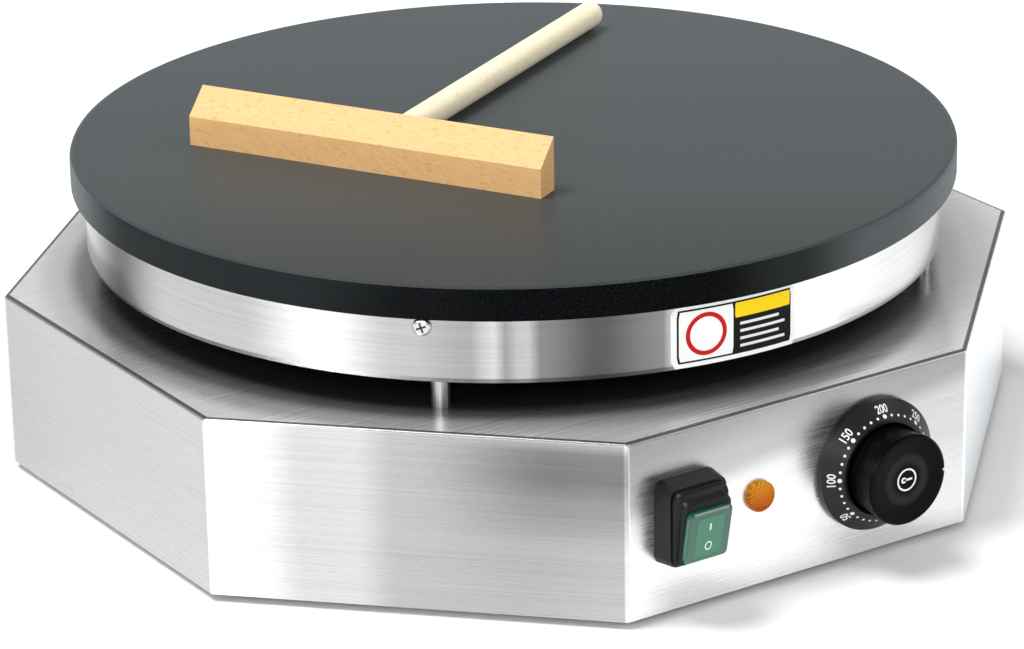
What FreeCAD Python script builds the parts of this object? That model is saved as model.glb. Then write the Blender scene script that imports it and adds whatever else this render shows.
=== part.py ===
"""Electric crepe maker: a round cast plate on an eight-sided steel base, with its wooden spreader.

Frame: +Z up, control panel facing -Y, origin on the table under the middle of the plate. Millimetres and degrees.
Each size below is a cell of the sheet, and the shapes are tied to the cells by formulas.
"""
import FreeCAD, Part
import math
import os
import re

import Sketcher

SIZES = {
    # Base: folded steel sheet, regular octagon, open below with a turned-in flange.
    "across_flats": 431.2,
    "wall_height": 80.2,
    "base_sheet": 1.2,
    "base_bend": 1.6,
    "base_flange": 15.0,
    # Bottom cover and feet.
    "cover_sheet": 1.0,
    "cover_inset": 2.5,
    "foot_drop": 2.0,
    "foot_radius": 12.0,
    "foot_neck_radius": 4.0,
    "foot_head_radius": 6.0,
    "foot_head_height": 2.0,
    "foot_circle": 180.0,
    "vent_length": 60.0,
    "vent_width": 4.0,
    "vent_pitch": 12.0,
    "vent_offset": 85.0,
    "cover_screw_radius": 2.0,
    "cover_screw_length": 6.0,
    "cover_screw_head_radius": 3.8,
    "cover_screw_head_height": 1.5,
    # Plate: cast iron disc with a turned-down spigot inside the skirt.
    "plate_radius": 200.0,
    "plate_thickness": 14.48,
    "plate_edge": 2.2,
    "plate_overhang": 5.8,
    "plate_rim_height": 43.6,
    "spigot_depth": 15.0,
    "spigot_wall": 7.0,
    "boss_radius": 7.0,
    # Skirt: rolled steel ring under the plate's rim, with a turned-in lower edge.
    "skirt_sheet": 1.0,
    "skirt_gap": 12.75,
    "skirt_lip": 4.4,
    "skirt_lip_bend": 3.0,
    "skirt_fit": 0.2,
    "skirt_screw_drop": 5.1,
    "skirt_screw_angle": -135.0,
    "skirt_screw_radius": 2.0,
    "skirt_screw_length": 7.0,
    "skirt_screw_head_radius": 4.1,
    "skirt_screw_head_height": 2.4,
    # Pan floor and the fibre blanket that lies on it.
    "pan_sheet": 0.8,
    "pan_fit": 0.3,
    "blanket_thickness": 11.0,
    "blanket_gap": 6.5,
    "blanket_bore": 34.0,
    # Four posts that carry the plate above the base.
    "post_inset": 8.7,
    "post_angle": -133.4,
    "post_radius": 4.0,
    "stud_radius": 2.5,
    "stud_engagement": 14.0,
    "stud_tail": 9.0,
    "nut_flats": 8.0,
    "nut_height": 4.0,
    "post_washer_radius": 6.0,
    "post_washer_height": 1.0,
    "hole_fit": 0.1,
    # Flattened tubular heaters held up under the plate by three straps.
    "heater_outer_circle": 150.0,
    "heater_inner_circle": 80.0,
    "heater_width": 9.0,
    "heater_height": 7.0,
    "heater_gap_angle": 24.0,
    "heater_leg_inset": 3.0,
    "heater_leg_radius": 2.5,
    "heater_leg_length": 7.0,
    "contact_gap": 0.2,
    "strap_width": 16.0,
    "strap_thickness": 2.5,
    "strap_reach": 6.0,
    "strap_boss_radius": 7.0,
    "strap_screw_radius": 2.5,
    "strap_screw_length": 8.0,
    "strap_screw_head_radius": 4.5,
    "strap_screw_head_height": 3.0,
    # Tube that takes the wiring from the base up into the pan.
    "conduit_radius": 14.0,
    "conduit_wall": 1.5,
    "conduit_tail": 8.0,
    "conduit_rise": 4.0,
    "conduit_collar_radius": 19.0,
    "conduit_collar_height": 2.0,
    "conduit_nut_radius": 19.0,
    "conduit_nut_height": 4.0,
    # Controls on the front wall, set out from its middle and its lower edge.
    "controls_height": 40.6,
    "knob_offset": 38.3,
    "lamp_offset": -22.0,
    "switch_offset": -60.5,
    "switch_height": 41.7,
    # Dial ring: moulded, with a sloping scale face round a well for the knob.
    "dial_radius": 29.6,
    "dial_side": 3.0,
    "dial_depth": 9.3,
    "dial_inner_radius": 22.2,
    "dial_floor": 1.6,
    "dial_wall": 1.4,
    "dial_bore": 8.0,
    # Knob: waisted and hollow, with a pointer notch in its front edge.
    "knob_radius": 20.3,
    "knob_waist": 19.3,
    "knob_waist_depth": 12.0,
    "knob_foot_radius": 20.0,
    "knob_back": 4.6,
    "knob_front": 24.4,
    "knob_edge": 0.8,
    "knob_dish": 0.9,
    "knob_dish_radius": 10.8,
    "knob_wall": 2.0,
    "knob_hub_radius": 5.6,
    "knob_notch_width": 1.8,
    "knob_notch_depth": 1.6,
    "knob_notch_length": 2.4,
    # Thermostat behind the front wall, with its sensing bulb under the plate.
    "shaft_radius": 3.0,
    "shaft_flat": 2.2,
    "shaft_fit": 0.05,
    "shaft_front": 19.0,
    "shaft_back": 12.0,
    "thermostat_width": 36.0,
    "thermostat_depth": 24.0,
    "bracket_width": 46.0,
    "bracket_height": 30.0,
    "bracket_sheet": 1.5,
    "bushing_radius": 5.0,
    "dial_screw_spacing": 26.0,
    "dial_screw_radius": 2.0,
    "dial_screw_head_radius": 3.5,
    "dial_screw_head_height": 2.0,
    "bulb_radius": 3.0,
    "bulb_length": 52.0,
    "bulb_start": 91.0,
    "capillary_radius": 1.1,
    "clip_width": 9.0,
    "clip_sheet": 1.2,
    "clip_ear": 7.0,
    # Rocker switch under a rubber boot.
    "switch_body_width": 21.6,
    "switch_body_height": 29.6,
    "switch_body_depth": 24.0,
    "switch_fit": 0.2,
    "switch_flange_width": 25.0,
    "switch_flange_height": 33.0,
    "switch_flange_depth": 3.2,
    "switch_well_width": 18.8,
    "switch_well_height": 26.0,
    "switch_well_depth": 7.0,
    "blade_terminal_width": 6.3,
    "blade_terminal_thickness": 0.8,
    "blade_terminal_length": 8.0,
    "blade_terminal_pitch": 9.0,
    "boot_width": 31.0,
    "boot_height": 37.4,
    "boot_depth": 10.0,
    "boot_taper": 7.0,
    "boot_corner": 4.0,
    "boot_opening_width": 24.0,
    "boot_opening_height": 30.0,
    "rocker_tilt": 11.0,
    "rocker_pivot_depth": 1.6,
    "rocker_neck_width": 18.2,
    "rocker_neck_height": 19.0,
    "rocker_neck_tail": 4.0,
    "rocker_cap_width": 22.0,
    "rocker_cap_height": 24.4,
    "rocker_cap_back": 12.0,
    "rocker_cap_front": 18.0,
    "rocker_cap_corner": 2.2,
    "rocker_pin_radius": 1.2,
    "rocker_pin_reach": 1.4,
    # Pilot lamp.
    "lens_radius": 6.9,
    "lens_depth": 2.9,
    "lens_bevel": 0.7,
    "lamp_body_radius": 5.0,
    "lamp_body_depth": 24.0,
    "lamp_nut_radius": 8.0,
    "lamp_nut_height": 3.0,
    # Mains entry in the back wall: gland, terminal block and earth stud.
    "gland_radius": 10.0,
    "gland_hex": 12.0,
    "gland_hex_height": 6.0,
    "gland_tail": 9.0,
    "gland_neck": 9.0,
    "gland_neck_height": 6.0,
    "gland_cap_radius": 11.4,
    "gland_cap_nose": 7.0,
    "gland_reach": 24.4,
    "gland_bore": 4.5,
    "gland_nut_radius": 12.5,
    "gland_nut_height": 4.0,
    "block_width": 44.0,
    "block_depth": 22.0,
    "block_height": 18.0,
    "block_place": 150.0,
    "block_pitch": 13.0,
    "block_slot": 8.0,
    "block_screw_radius": 2.4,
    "block_screw_height": 3.0,
    "earth_place": 60.0,
    "earth_radius": 2.5,
    "earth_height": 16.0,
    "lead_radius": 1.4,
    # Spreader: beech blade with a turned dowel handle, lying on the plate.
    "spreader_east": -78.2,
    "spreader_north": -2.6,
    "spreader_yaw": -60.7,
    "blade_length": 176.5,
    "blade_thickness": 12.9,
    "blade_front_height": 13.4,
    "blade_back_height": 24.5,
    "handle_radius": 6.3,
    "handle_length": 220.0,
    "handle_height": 7.2,
    "handle_socket": 8.0,
    "handle_end_round": 4.0,
}

DERIVED = {
    "skirt_radius": "plate_radius - plate_overhang",
    "post_circle": "skirt_radius - post_inset",
    "blanket_radius": "post_circle - boss_radius - blanket_gap",
    "half_flats": "across_flats / 2",
    "wall_bottom": "foot_drop + cover_sheet",
    "deck_top": "wall_bottom + wall_height",
    "deck_under": "deck_top - base_sheet",
    "skirt_bottom": "deck_top + skirt_gap",
    "pan_under": "skirt_bottom + skirt_sheet",
    "pan_top": "pan_under + pan_sheet",
    "rim_under": "deck_top + plate_rim_height",
    "plate_top": "rim_under + plate_thickness",
    "skirt_inside": "skirt_radius - skirt_sheet",
    "spigot_outside": "skirt_inside - skirt_fit",
    "spigot_inside": "spigot_outside - spigot_wall",
    "heater_top": "rim_under - contact_gap",
    "heater_under": "heater_top - heater_height",
    "strap_top": "heater_under - contact_gap",
    "strap_under": "strap_top - strap_thickness",
    "strap_middle": "(heater_outer_circle + heater_inner_circle) / 2",
    "bulb_height": "rim_under - contact_gap - bulb_radius",
    "controls_z": "wall_bottom + controls_height",
    "switch_z": "wall_bottom + switch_height",
}

X, Y, Z = FreeCAD.Vector(1, 0, 0), FreeCAD.Vector(0, 1, 0), FreeCAD.Vector(0, 0, 1)
FACING_UP = FreeCAD.Rotation()
FACING_FRONT = FreeCAD.Rotation(X, 90)
FACING_BACK = FreeCAD.Rotation(X, -90)
PIECES = []
NEAR = 0.01
EDGE_SHARE = 0.29
LEAD_SIDES = 6

doc = FreeCAD.newDocument("CrepeMaker")
sheet = doc.addObject("Spreadsheet::Sheet", "Sizes")


def formula(text):
    """The text with each size's name written as a cell of the sheet, and the degrees of tan() marked."""
    named = re.sub(r"[a-z_]+", lambda word: "Sizes." + word[0] if word[0] in known else word[0], str(text))
    return named.replace("tan(22.5)", "tan(22.5 deg)")


def size(name):
    """The number that a cell of the sheet holds."""
    return float(sheet.get(name))


known = set(SIZES) | set(DERIVED)
for row, (name, content) in enumerate(list(SIZES.items()) + list(DERIVED.items()), start=1):
    sheet.set("A%d" % row, name)
    sheet.set("B%d" % row, str(content) if name in SIZES else "=" + formula(content).replace("Sizes.", ""))
    sheet.setAlias("B%d" % row, name)
doc.recompute()


def place(thing, at=(0, 0, 0), turned=FACING_UP):
    """Turn a piece and tie its place to three formulas."""
    thing.Placement = FreeCAD.Placement(FreeCAD.Vector(), turned)
    for axis, text in zip("xyz", at):
        if text != 0:
            thing.setExpression("Placement.Base." + axis, formula(text))


def new_body(label, at=(0, 0, 0), turned=FACING_UP):
    """Start one solid piece."""
    body = doc.addObject("PartDesign::Body", label)
    body.Label = label
    body.AllowCompound = True
    place(body, at, turned)
    PIECES.append(body)
    return body


def origin_part(body, role):
    return next(part for part in body.Origin.OriginFeatures if part.Role == role)


def draw(body, plane, loops=(), circles=(), lift=None):
    """Draw closed straight-sided loops and circles on a plane of the body, each point tied to formulas."""
    sketch = body.newObject("Sketcher::SketchObject", body.Label + "_outline")
    sketch.AttachmentSupport = [(origin_part(body, plane), "")]
    sketch.MapMode = "FlatFace"
    if lift is not None:
        sketch.setExpression("AttachmentOffset.Base.z", formula(lift))
    rules, ties = [], []

    def tie(kind, points, text):
        ties.append((len(rules), text))
        rules.append(Sketcher.Constraint(kind, *points, 1.0))

    for loop in loops:
        first, count = sketch.GeometryCount, len(loop)
        for corner in range(count):
            ends = [2 * math.pi * step / count for step in (corner, corner + 1)]
            start, end = [FreeCAD.Vector(math.cos(a), math.sin(a), 0) for a in ends]
            sketch.addGeometry(Part.LineSegment(start, end))
            rules.append(Sketcher.Constraint("Coincident", first + corner, 2, first + (corner + 1) % count, 1))
        for corner, (across, up) in enumerate(loop):
            tie("DistanceX", (-1, 1, first + corner, 1), across)
            tie("DistanceY", (-1, 1, first + corner, 1), up)
    for across, up, radius in circles:
        index = sketch.addGeometry(Part.Circle(FreeCAD.Vector(), Z, 1.0))
        tie("DistanceX", (-1, 1, index, 3), across)
        tie("DistanceY", (-1, 1, index, 3), up)
        tie("Radius", (index,), radius)
    sketch.addConstraint(rules)
    for index, text in ties:
        sketch.setExpression("Constraints[%d]" % index, formula(text))
    return sketch


def pad(body, sketch, length, backwards=False, taper=None):
    feature = body.newObject("PartDesign::Pad", body.Label + "_pad")
    feature.Profile = sketch
    feature.Reversed = backwards
    feature.setExpression("Length", formula(length))
    if taper is not None:
        feature.setExpression("TaperAngle", formula(taper))
    return feature


def pocket(body, sketch, length, backwards=True):
    """Cut along the sketch's own direction, or against it."""
    feature = body.newObject("PartDesign::Pocket", body.Label + "_pocket")
    feature.Profile = sketch
    feature.Reversed = backwards
    feature.setExpression("Length", formula(length))
    return feature


def turn(body, outline, angle=None, kind="Revolution"):
    """Turn an outline of (radius, height) points about the body's Z axis."""
    sketch = draw(body, "XZ_Plane", [outline])
    feature = body.newObject("PartDesign::" + kind, body.Label + "_" + kind.lower())
    feature.Profile = sketch
    feature.ReferenceAxis = (sketch, ["V_Axis"])
    if angle is not None:
        feature.setExpression("Angle", formula(angle))
    return feature


def repeat(body, features, count):
    """Copy features evenly round the body's Z axis."""
    pattern = body.newObject("PartDesign::PolarPattern", body.Label + "_ring")
    pattern.Originals = features
    pattern.Axis = (origin_part(body, "Z_Axis"), [""])
    pattern.Angle = 360
    pattern.Occurrences = count
    body.Tip = pattern
    return pattern


def dress(body, kind, base, chosen, radius):
    """Round or chamfer the edges of a feature that the chooser picks."""
    doc.recompute()
    names = ["Edge%d" % n for n, edge in enumerate(base.Shape.Edges, start=1) if chosen(edge)]
    feature = body.newObject("PartDesign::" + kind, body.Label + "_" + kind.lower())
    feature.Base = (base, names)
    feature.setExpression("Radius" if kind == "Fillet" else "Size", formula(radius))
    return feature


def soft_corner(radius, height, bend, inward=-1, upward=1):
    """Two facets that soften an outline's corner, as three points from the side face to the end face."""
    reach = [(0, 1), (EDGE_SHARE, EDGE_SHARE), (1, 0)]
    return [("%s + %d * %s * %s" % (radius, inward, bend, across), "%s + %d * %s * %s" % (height, upward, bend, up))
            for across, up in reach]


def box_outline(across, up, width, height):
    """A rectangle by its middle and its two sizes."""
    left, right = ["%s %s (%s) / 2" % (across, sign, width) for sign in "-+"]
    low, high = ["%s %s (%s) / 2" % (up, sign, height) for sign in "-+"]
    return [(left, low), (right, low), (right, high), (left, high)]


def soft_box(width, height, corner):
    """A rectangle about the origin whose corners are softened by two facets each."""
    points = []
    for sx, sy in ((1, -1), (1, 1), (-1, 1), (-1, -1)):
        facets = [("%d * ((%s) / 2 - %s * %s)" % (sx, width, corner, across),
                   "%d * ((%s) / 2 - %s * %s)" % (sy, height, corner, up))
                  for across, up in ((1, 0), (EDGE_SHARE, EDGE_SHARE), (0, 1))]
        points += facets if sx * sy < 0 else facets[::-1]
    return points


def octagon(half):
    """The corners of a regular octagon with flats facing the axes, by half its width across flats."""
    side = "(%s) * tan(22.5)" % half
    corners = []
    for along, across in ((half, side), (side, half)):
        corners += [(sx + "(" + along + ")", sy + "(" + across + ")") for sx in "+-" for sy in "+-"]
    order = (0, 4, 6, 2, 3, 7, 5, 1)
    return [tuple(text.lstrip("+") for text in corners[n]) for n in order]


def on_circle(radius, angle):
    """Formulas of the point at an angle in degrees on a circle about the Z axis."""
    return "%s * cos(%s * 1 deg)" % (radius, angle), "%s * sin(%s * 1 deg)" % (radius, angle)


def hexagon(flats):
    """The corners of a nut by its size across flats."""
    reach = "%s / 2 / cos(30 deg)" % flats
    return [on_circle(reach, 60 * step) for step in range(6)]


def ring_nut(label, at, turned, radius, bore, height):
    """A flat hexagonal ring nut."""
    nut = new_body(label, at, turned)
    pad(nut, draw(nut, "XY_Plane", [[on_circle(radius, 60 * n) for n in range(6)]], [(0, 0, bore)]), height)
    return nut


# Base housing: one folded octagonal shell with the deck on top and a flange turned in below.
def base_housing():
    body = new_body("base_housing", at=(0, 0, "wall_bottom"))
    block = pad(body, draw(body, "XY_Plane", [octagon("half_flats")]), "wall_height")
    block = dress(body, "Fillet", block, lambda edge: edge.BoundBox.ZMax > 1, "base_bend")
    inside = draw(body, "XY_Plane", [octagon("half_flats - base_sheet")])
    pocket(body, inside, "wall_height - base_sheet")
    flange = [octagon("half_flats - base_sheet / 2"), octagon("half_flats - base_flange")]
    pad(body, draw(body, "XY_Plane", flange), "base_sheet")
    ring = [on_circle("(half_flats - base_flange / 2)", 90 * n) for n in range(4)]
    holes = [(x, y, "cover_screw_radius + hole_fit") for x, y in ring]
    pocket(body, draw(body, "XY_Plane", circles=holes), "2 * base_sheet")
    posts = [on_circle("post_circle", "(post_angle + %d)" % (90 * n)) for n in range(4)]
    holes = [(x, y, "stud_radius + hole_fit") for x, y in posts]
    holes.append((0, 0, "conduit_radius + hole_fit"))
    pocket(body, draw(body, "XY_Plane", circles=holes), "wall_height + 1")
    across, up = "knob_offset", "controls_height"
    holes = [(across, up, "bushing_radius + hole_fit"), ("lamp_offset", up, "lamp_body_radius + hole_fit")]
    holes += [("%s %s dial_screw_spacing / 2" % (across, s), up, "dial_screw_radius + hole_fit") for s in "-+"]
    cutout = box_outline("switch_offset", "switch_height", "switch_body_width + 2 * switch_fit",
                         "switch_body_height + 2 * switch_fit")
    pocket(body, draw(body, "XZ_Plane", [cutout], holes), "half_flats + 1")
    entry = [(0, "controls_height", "gland_radius + hole_fit")]
    pocket(body, draw(body, "XZ_Plane", circles=entry), "half_flats + 1", backwards=False)


# Bottom cover: flat octagonal sheet screwed up against the flange, with slots for air.
def base_cover():
    body = new_body("base_cover", at=(0, 0, "foot_drop"))
    pad(body, draw(body, "XY_Plane", [octagon("half_flats - cover_inset")]), "cover_sheet")
    ring = [on_circle("(half_flats - base_flange / 2)", 90 * n) for n in range(4)]
    holes = [(x, y, "cover_screw_radius + hole_fit") for x, y in ring]
    holes += [(*on_circle("foot_circle", 45 + 90 * n), "foot_neck_radius + hole_fit") for n in range(4)]
    slots = [box_outline("%s vent_offset" % side, "vent_pitch * %d" % step, "vent_length", "vent_width")
             for side in ("-", "") for step in (-2, -1, 0, 1, 2)]
    pocket(body, draw(body, "XY_Plane", slots, holes), "cover_sheet + 1")


# Feet: four rubber buttons pushed through the cover.
def feet():
    body = new_body("feet", turned=FreeCAD.Rotation(Z, 45))
    neck_top = "wall_bottom + hole_fit"
    steps = [("foot_radius", "0", "foot_drop"), ("foot_neck_radius", "foot_drop", neck_top + " - foot_drop"),
             ("foot_head_radius", neck_top, "foot_head_height")]
    features = []
    for radius, low, height in steps:
        sketch = draw(body, "XY_Plane", circles=[("foot_circle", 0, radius)], lift=low)
        features.append(pad(body, sketch, height))
    repeat(body, features, 4)


def screw_ring(label, circle, height, radius, length, head_radius, head_height, count, turned=0):
    """Screws standing upwards on a circle, heads below the given height."""
    body = new_body(label, at=(0, 0, height), turned=FreeCAD.Rotation(Z, turned))
    shank = pad(body, draw(body, "XY_Plane", circles=[(circle, 0, radius)]), length)
    head = pad(body, draw(body, "XY_Plane", circles=[(circle, 0, head_radius)]), head_height, backwards=True)
    repeat(body, [shank, head], count)


# Posts: steel sleeves with a stud through each, from under the deck up into the plate's bosses.
def posts():
    angle = size("post_angle")
    sleeves = new_body("post_sleeves", at=(0, 0, "deck_top"), turned=FreeCAD.Rotation(Z, angle))
    rings = [("post_circle", 0, "post_radius"), ("post_circle", 0, "stud_radius + hole_fit")]
    repeat(sleeves, [pad(sleeves, draw(sleeves, "XY_Plane", circles=rings), "pan_under - deck_top")], 4)
    studs = new_body("post_studs", at=(0, 0, "deck_under - stud_tail"), turned=FreeCAD.Rotation(Z, angle))
    rod = draw(studs, "XY_Plane", circles=[("post_circle", 0, "stud_radius")])
    repeat(studs, [pad(studs, rod, "stud_tail + pan_top - deck_under + stud_engagement")], 4)
    nuts = new_body("post_nuts", at=(0, 0, "deck_under"), turned=FreeCAD.Rotation(Z, angle))
    bore = ("post_circle", 0, "stud_radius + hole_fit")
    washer = draw(nuts, "XY_Plane", circles=[("post_circle", 0, "post_washer_radius"), bore])
    hexagonal = [("post_circle + " + x, y) for x, y in hexagon("nut_flats")]
    nut = draw(nuts, "XY_Plane", [hexagonal], [bore], lift="-post_washer_height")
    features = [pad(nuts, washer, "post_washer_height", backwards=True), pad(nuts, nut, "nut_height", backwards=True)]
    repeat(nuts, features, 4)


# Griddle plate: turned casting with a spigot, four post bosses and three bosses for the heater straps.
def griddle_plate():
    body = new_body("griddle_plate")
    top, under = "plate_top", "rim_under"
    turn(body, [(0, under), ("spigot_inside", under), ("spigot_inside", under + " - spigot_depth"),
                        ("spigot_outside", under + " - spigot_depth"), ("spigot_outside", under), ("plate_radius", under),
                        *soft_corner("plate_radius", top, "plate_edge", upward=-1), (0, top)])
    bosses = [(*on_circle("post_circle", "(post_angle + %d)" % (90 * n)), "boss_radius") for n in range(4)]
    pad(body, draw(body, "XY_Plane", circles=bosses, lift="pan_top"), "rim_under + 1 - pan_top")
    bosses = [(*on_circle("strap_middle", 60 + 120 * n), "strap_boss_radius") for n in range(3)]
    pad(body, draw(body, "XY_Plane", circles=bosses, lift="strap_top"), "rim_under + 1 - strap_top")
    holes = [(*on_circle("post_circle", "(post_angle + %d)" % (90 * n)), "stud_radius + hole_fit") for n in range(4)]
    pocket(body, draw(body, "XY_Plane", circles=holes, lift="pan_top"), "stud_engagement + 1")
    holes = [(*on_circle("strap_middle", 60 + 120 * n), "strap_screw_radius + hole_fit") for n in range(3)]
    pocket(body, draw(body, "XY_Plane", circles=holes, lift="strap_top"), "strap_screw_length")
    drill = [(0, "rim_under - skirt_screw_drop", "skirt_screw_radius + hole_fit")]
    for angle in (45, -45):
        sketch = draw(body, "XZ_Plane", circles=drill)
        sketch.AttachmentOffset = FreeCAD.Placement(FreeCAD.Vector(), FreeCAD.Rotation(Y, angle))
        for backwards in (True, False):
            pocket(body, sketch, "skirt_radius + 1", backwards)


# Skirt: rolled ring whose lower edge turns in under the pan floor.
def skirt_ring():
    body = new_body("skirt_ring")
    low, rim = "skirt_bottom", "rim_under - contact_gap"
    outline = [("skirt_inside", rim), ("skirt_inside", low + " + skirt_sheet"),
               ("skirt_radius - skirt_lip", low + " + skirt_sheet"), ("skirt_radius - skirt_lip", low)]
    turn(body, outline + soft_corner("skirt_radius", low, "skirt_lip_bend")[::-1] + [("skirt_radius", rim)])
    drill = [(0, "rim_under - skirt_screw_drop", "skirt_screw_radius + hole_fit")]
    for angle in (45, -45):
        sketch = draw(body, "XZ_Plane", circles=drill)
        sketch.AttachmentOffset = FreeCAD.Placement(FreeCAD.Vector(), FreeCAD.Rotation(Y, angle))
        for backwards in (True, False):
            pocket(body, sketch, "skirt_radius + 1", backwards)


def skirt_screws():
    body = new_body("skirt_screws")
    features = []
    for lift, length, radius in (("skirt_radius - skirt_screw_length", "skirt_screw_length", "skirt_screw_radius"),
                                 ("skirt_radius", "skirt_screw_head_height", "skirt_screw_head_radius")):
        sketch = draw(body, "XZ_Plane", circles=[(0, "rim_under - skirt_screw_drop", radius)])
        sketch.AttachmentOffset = FreeCAD.Placement(FreeCAD.Vector(), FreeCAD.Rotation(Y, 45))
        sketch.setExpression("AttachmentOffset.Base.x", formula("(%s) * sin(45 deg)" % lift))
        sketch.setExpression("AttachmentOffset.Base.z", formula("(%s) * cos(45 deg)" % lift))
        features.append(pad(body, sketch, length))
    repeat(body, features, 4)


# Pan floor: steel disc lying on the skirt's lip, under the fibre blanket.
def pan_floor():
    body = new_body("pan_floor", at=(0, 0, "pan_under"))
    rings = [(0, 0, "skirt_radius - skirt_lip_bend - pan_fit"), (0, 0, "conduit_radius + hole_fit")]
    pad(body, draw(body, "XY_Plane", circles=rings), "pan_sheet")
    posts = [on_circle("post_circle", "(post_angle + %d)" % (90 * n)) for n in range(4)]
    holes = [(x, y, "stud_radius + hole_fit") for x, y in posts]
    pocket(body, draw(body, "XY_Plane", circles=holes), "pan_sheet + 1")


def fibre_blanket():
    body = new_body("fibre_blanket", at=(0, 0, "pan_top"))
    rings = [(0, 0, "blanket_radius"), (0, 0, "blanket_bore")]
    pad(body, draw(body, "XY_Plane", circles=rings), "blanket_thickness")


# Heaters: two flattened tubes, each an open ring whose ends turn down into terminal legs.
def heaters():
    for label, circle in (("heater_outer", "heater_outer_circle"), ("heater_inner", "heater_inner_circle")):
        body = new_body(label, turned=FreeCAD.Rotation(Z, 180))
        low, high = "heater_under", "heater_top"
        section = [(circle + " - heater_width / 2", high), (circle + " - heater_width / 4", low),
                   (circle + " + heater_width / 4", low), (circle + " + heater_width / 2", high)]
        ring = turn(body, section, angle="360 - heater_gap_angle")
        ring.Midplane = True
        legs = [(*on_circle(circle, "(180 %s heater_gap_angle / 2 %s heater_leg_inset)" % (s, s)), "heater_leg_radius") for s in "-+"]
        pad(body, draw(body, "XY_Plane", circles=legs, lift="heater_under + 1"), "heater_leg_length + 1", backwards=True)


def heater_straps():
    body = new_body("heater_straps", at=(0, 0, "strap_under"), turned=FreeCAD.Rotation(Z, 60))
    reach = "heater_outer_circle - heater_inner_circle + heater_width + 2 * strap_reach"
    outline = box_outline("strap_middle", "0", reach, "strap_width")
    hole = ("strap_middle", 0, "strap_screw_radius + hole_fit")
    repeat(body, [pad(body, draw(body, "XY_Plane", [outline], [hole]), "strap_thickness")], 3)


# Conduit: flanged tube through the deck that leads the wiring up into the pan.
def conduit():
    body = new_body("wiring_conduit")
    inner, outer, collar = "conduit_radius - conduit_wall", "conduit_radius", "conduit_collar_radius"
    low, seat, top = "deck_under - conduit_tail", "deck_top", "pan_top + conduit_rise"
    turn(body, [(inner, low), (outer, low), (outer, seat), (collar, seat), (collar, seat + " + conduit_collar_height"),
                (outer, seat + " + conduit_collar_height"), (outer, top), (inner, top)])
    ring_nut("conduit_nut", (0, 0, "deck_under - conduit_nut_height"), FACING_UP, "conduit_nut_radius",
             "conduit_radius + hole_fit", "conduit_nut_height")


# Dial ring: hollow moulding with a sloping scale face round the knob's well.
def dial_ring():
    body = new_body("dial_ring", at=("knob_offset", "-half_flats", "controls_z"), turned=FACING_FRONT)
    well = "dial_inner_radius - dial_wall"
    turn(body, [("dial_bore", 0), ("dial_radius", 0), ("dial_radius", "dial_side"), ("dial_inner_radius", "dial_depth"),
                (well, "dial_depth"), (well, "dial_floor"), ("dial_bore", "dial_floor")])
    holes = [("%s dial_screw_spacing / 2" % s, 0, "dial_screw_radius + hole_fit") for s in ("-", "")]
    pocket(body, draw(body, "XY_Plane", circles=holes), "dial_floor + 1")


def dial_screws():
    body = new_body("dial_screws", at=("knob_offset", "-half_flats", "controls_z"), turned=FACING_FRONT)
    places = ["%s dial_screw_spacing / 2" % s for s in ("-", "")]
    shanks = draw(body, "XY_Plane", circles=[(x, 0, "dial_screw_radius") for x in places],
                  lift="-base_sheet - bracket_sheet")
    pad(body, shanks, "base_sheet + bracket_sheet + dial_floor")
    heads = draw(body, "XY_Plane", circles=[(x, 0, "dial_screw_head_radius") for x in places], lift="dial_floor")
    pad(body, heads, "dial_screw_head_height")


# Knob: waisted hollow moulding with a hub on the shaft and a notch that points at the scale.
def knob():
    body = new_body("knob", at=("knob_offset", "-half_flats", "controls_z"), turned=FACING_FRONT)
    face, bore = "knob_front - knob_dish", "shaft_radius + shaft_fit"
    inside, roof = "knob_waist - knob_wall", "knob_front - knob_dish - knob_wall"
    turn(body, [("knob_foot_radius", "knob_back"), ("knob_waist", "knob_waist_depth"),
                ("knob_radius", "knob_front - knob_edge"), ("knob_radius - knob_edge", "knob_front"),
                ("knob_radius - 3 * knob_edge", "knob_front"), ("knob_dish_radius", face), (0, face),
                (0, "shaft_front + contact_gap"), (bore, "shaft_front + contact_gap"), (bore, "knob_back"),
                ("knob_hub_radius", "knob_back"), ("knob_hub_radius", roof), (inside, roof), (inside, "knob_back")])
    notch = box_outline("knob_radius", "0", "2 * knob_notch_depth", "knob_notch_width")
    pocket(body, draw(body, "XY_Plane", [notch], lift="knob_front - knob_notch_length"), "knob_notch_length + 1")


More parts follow.
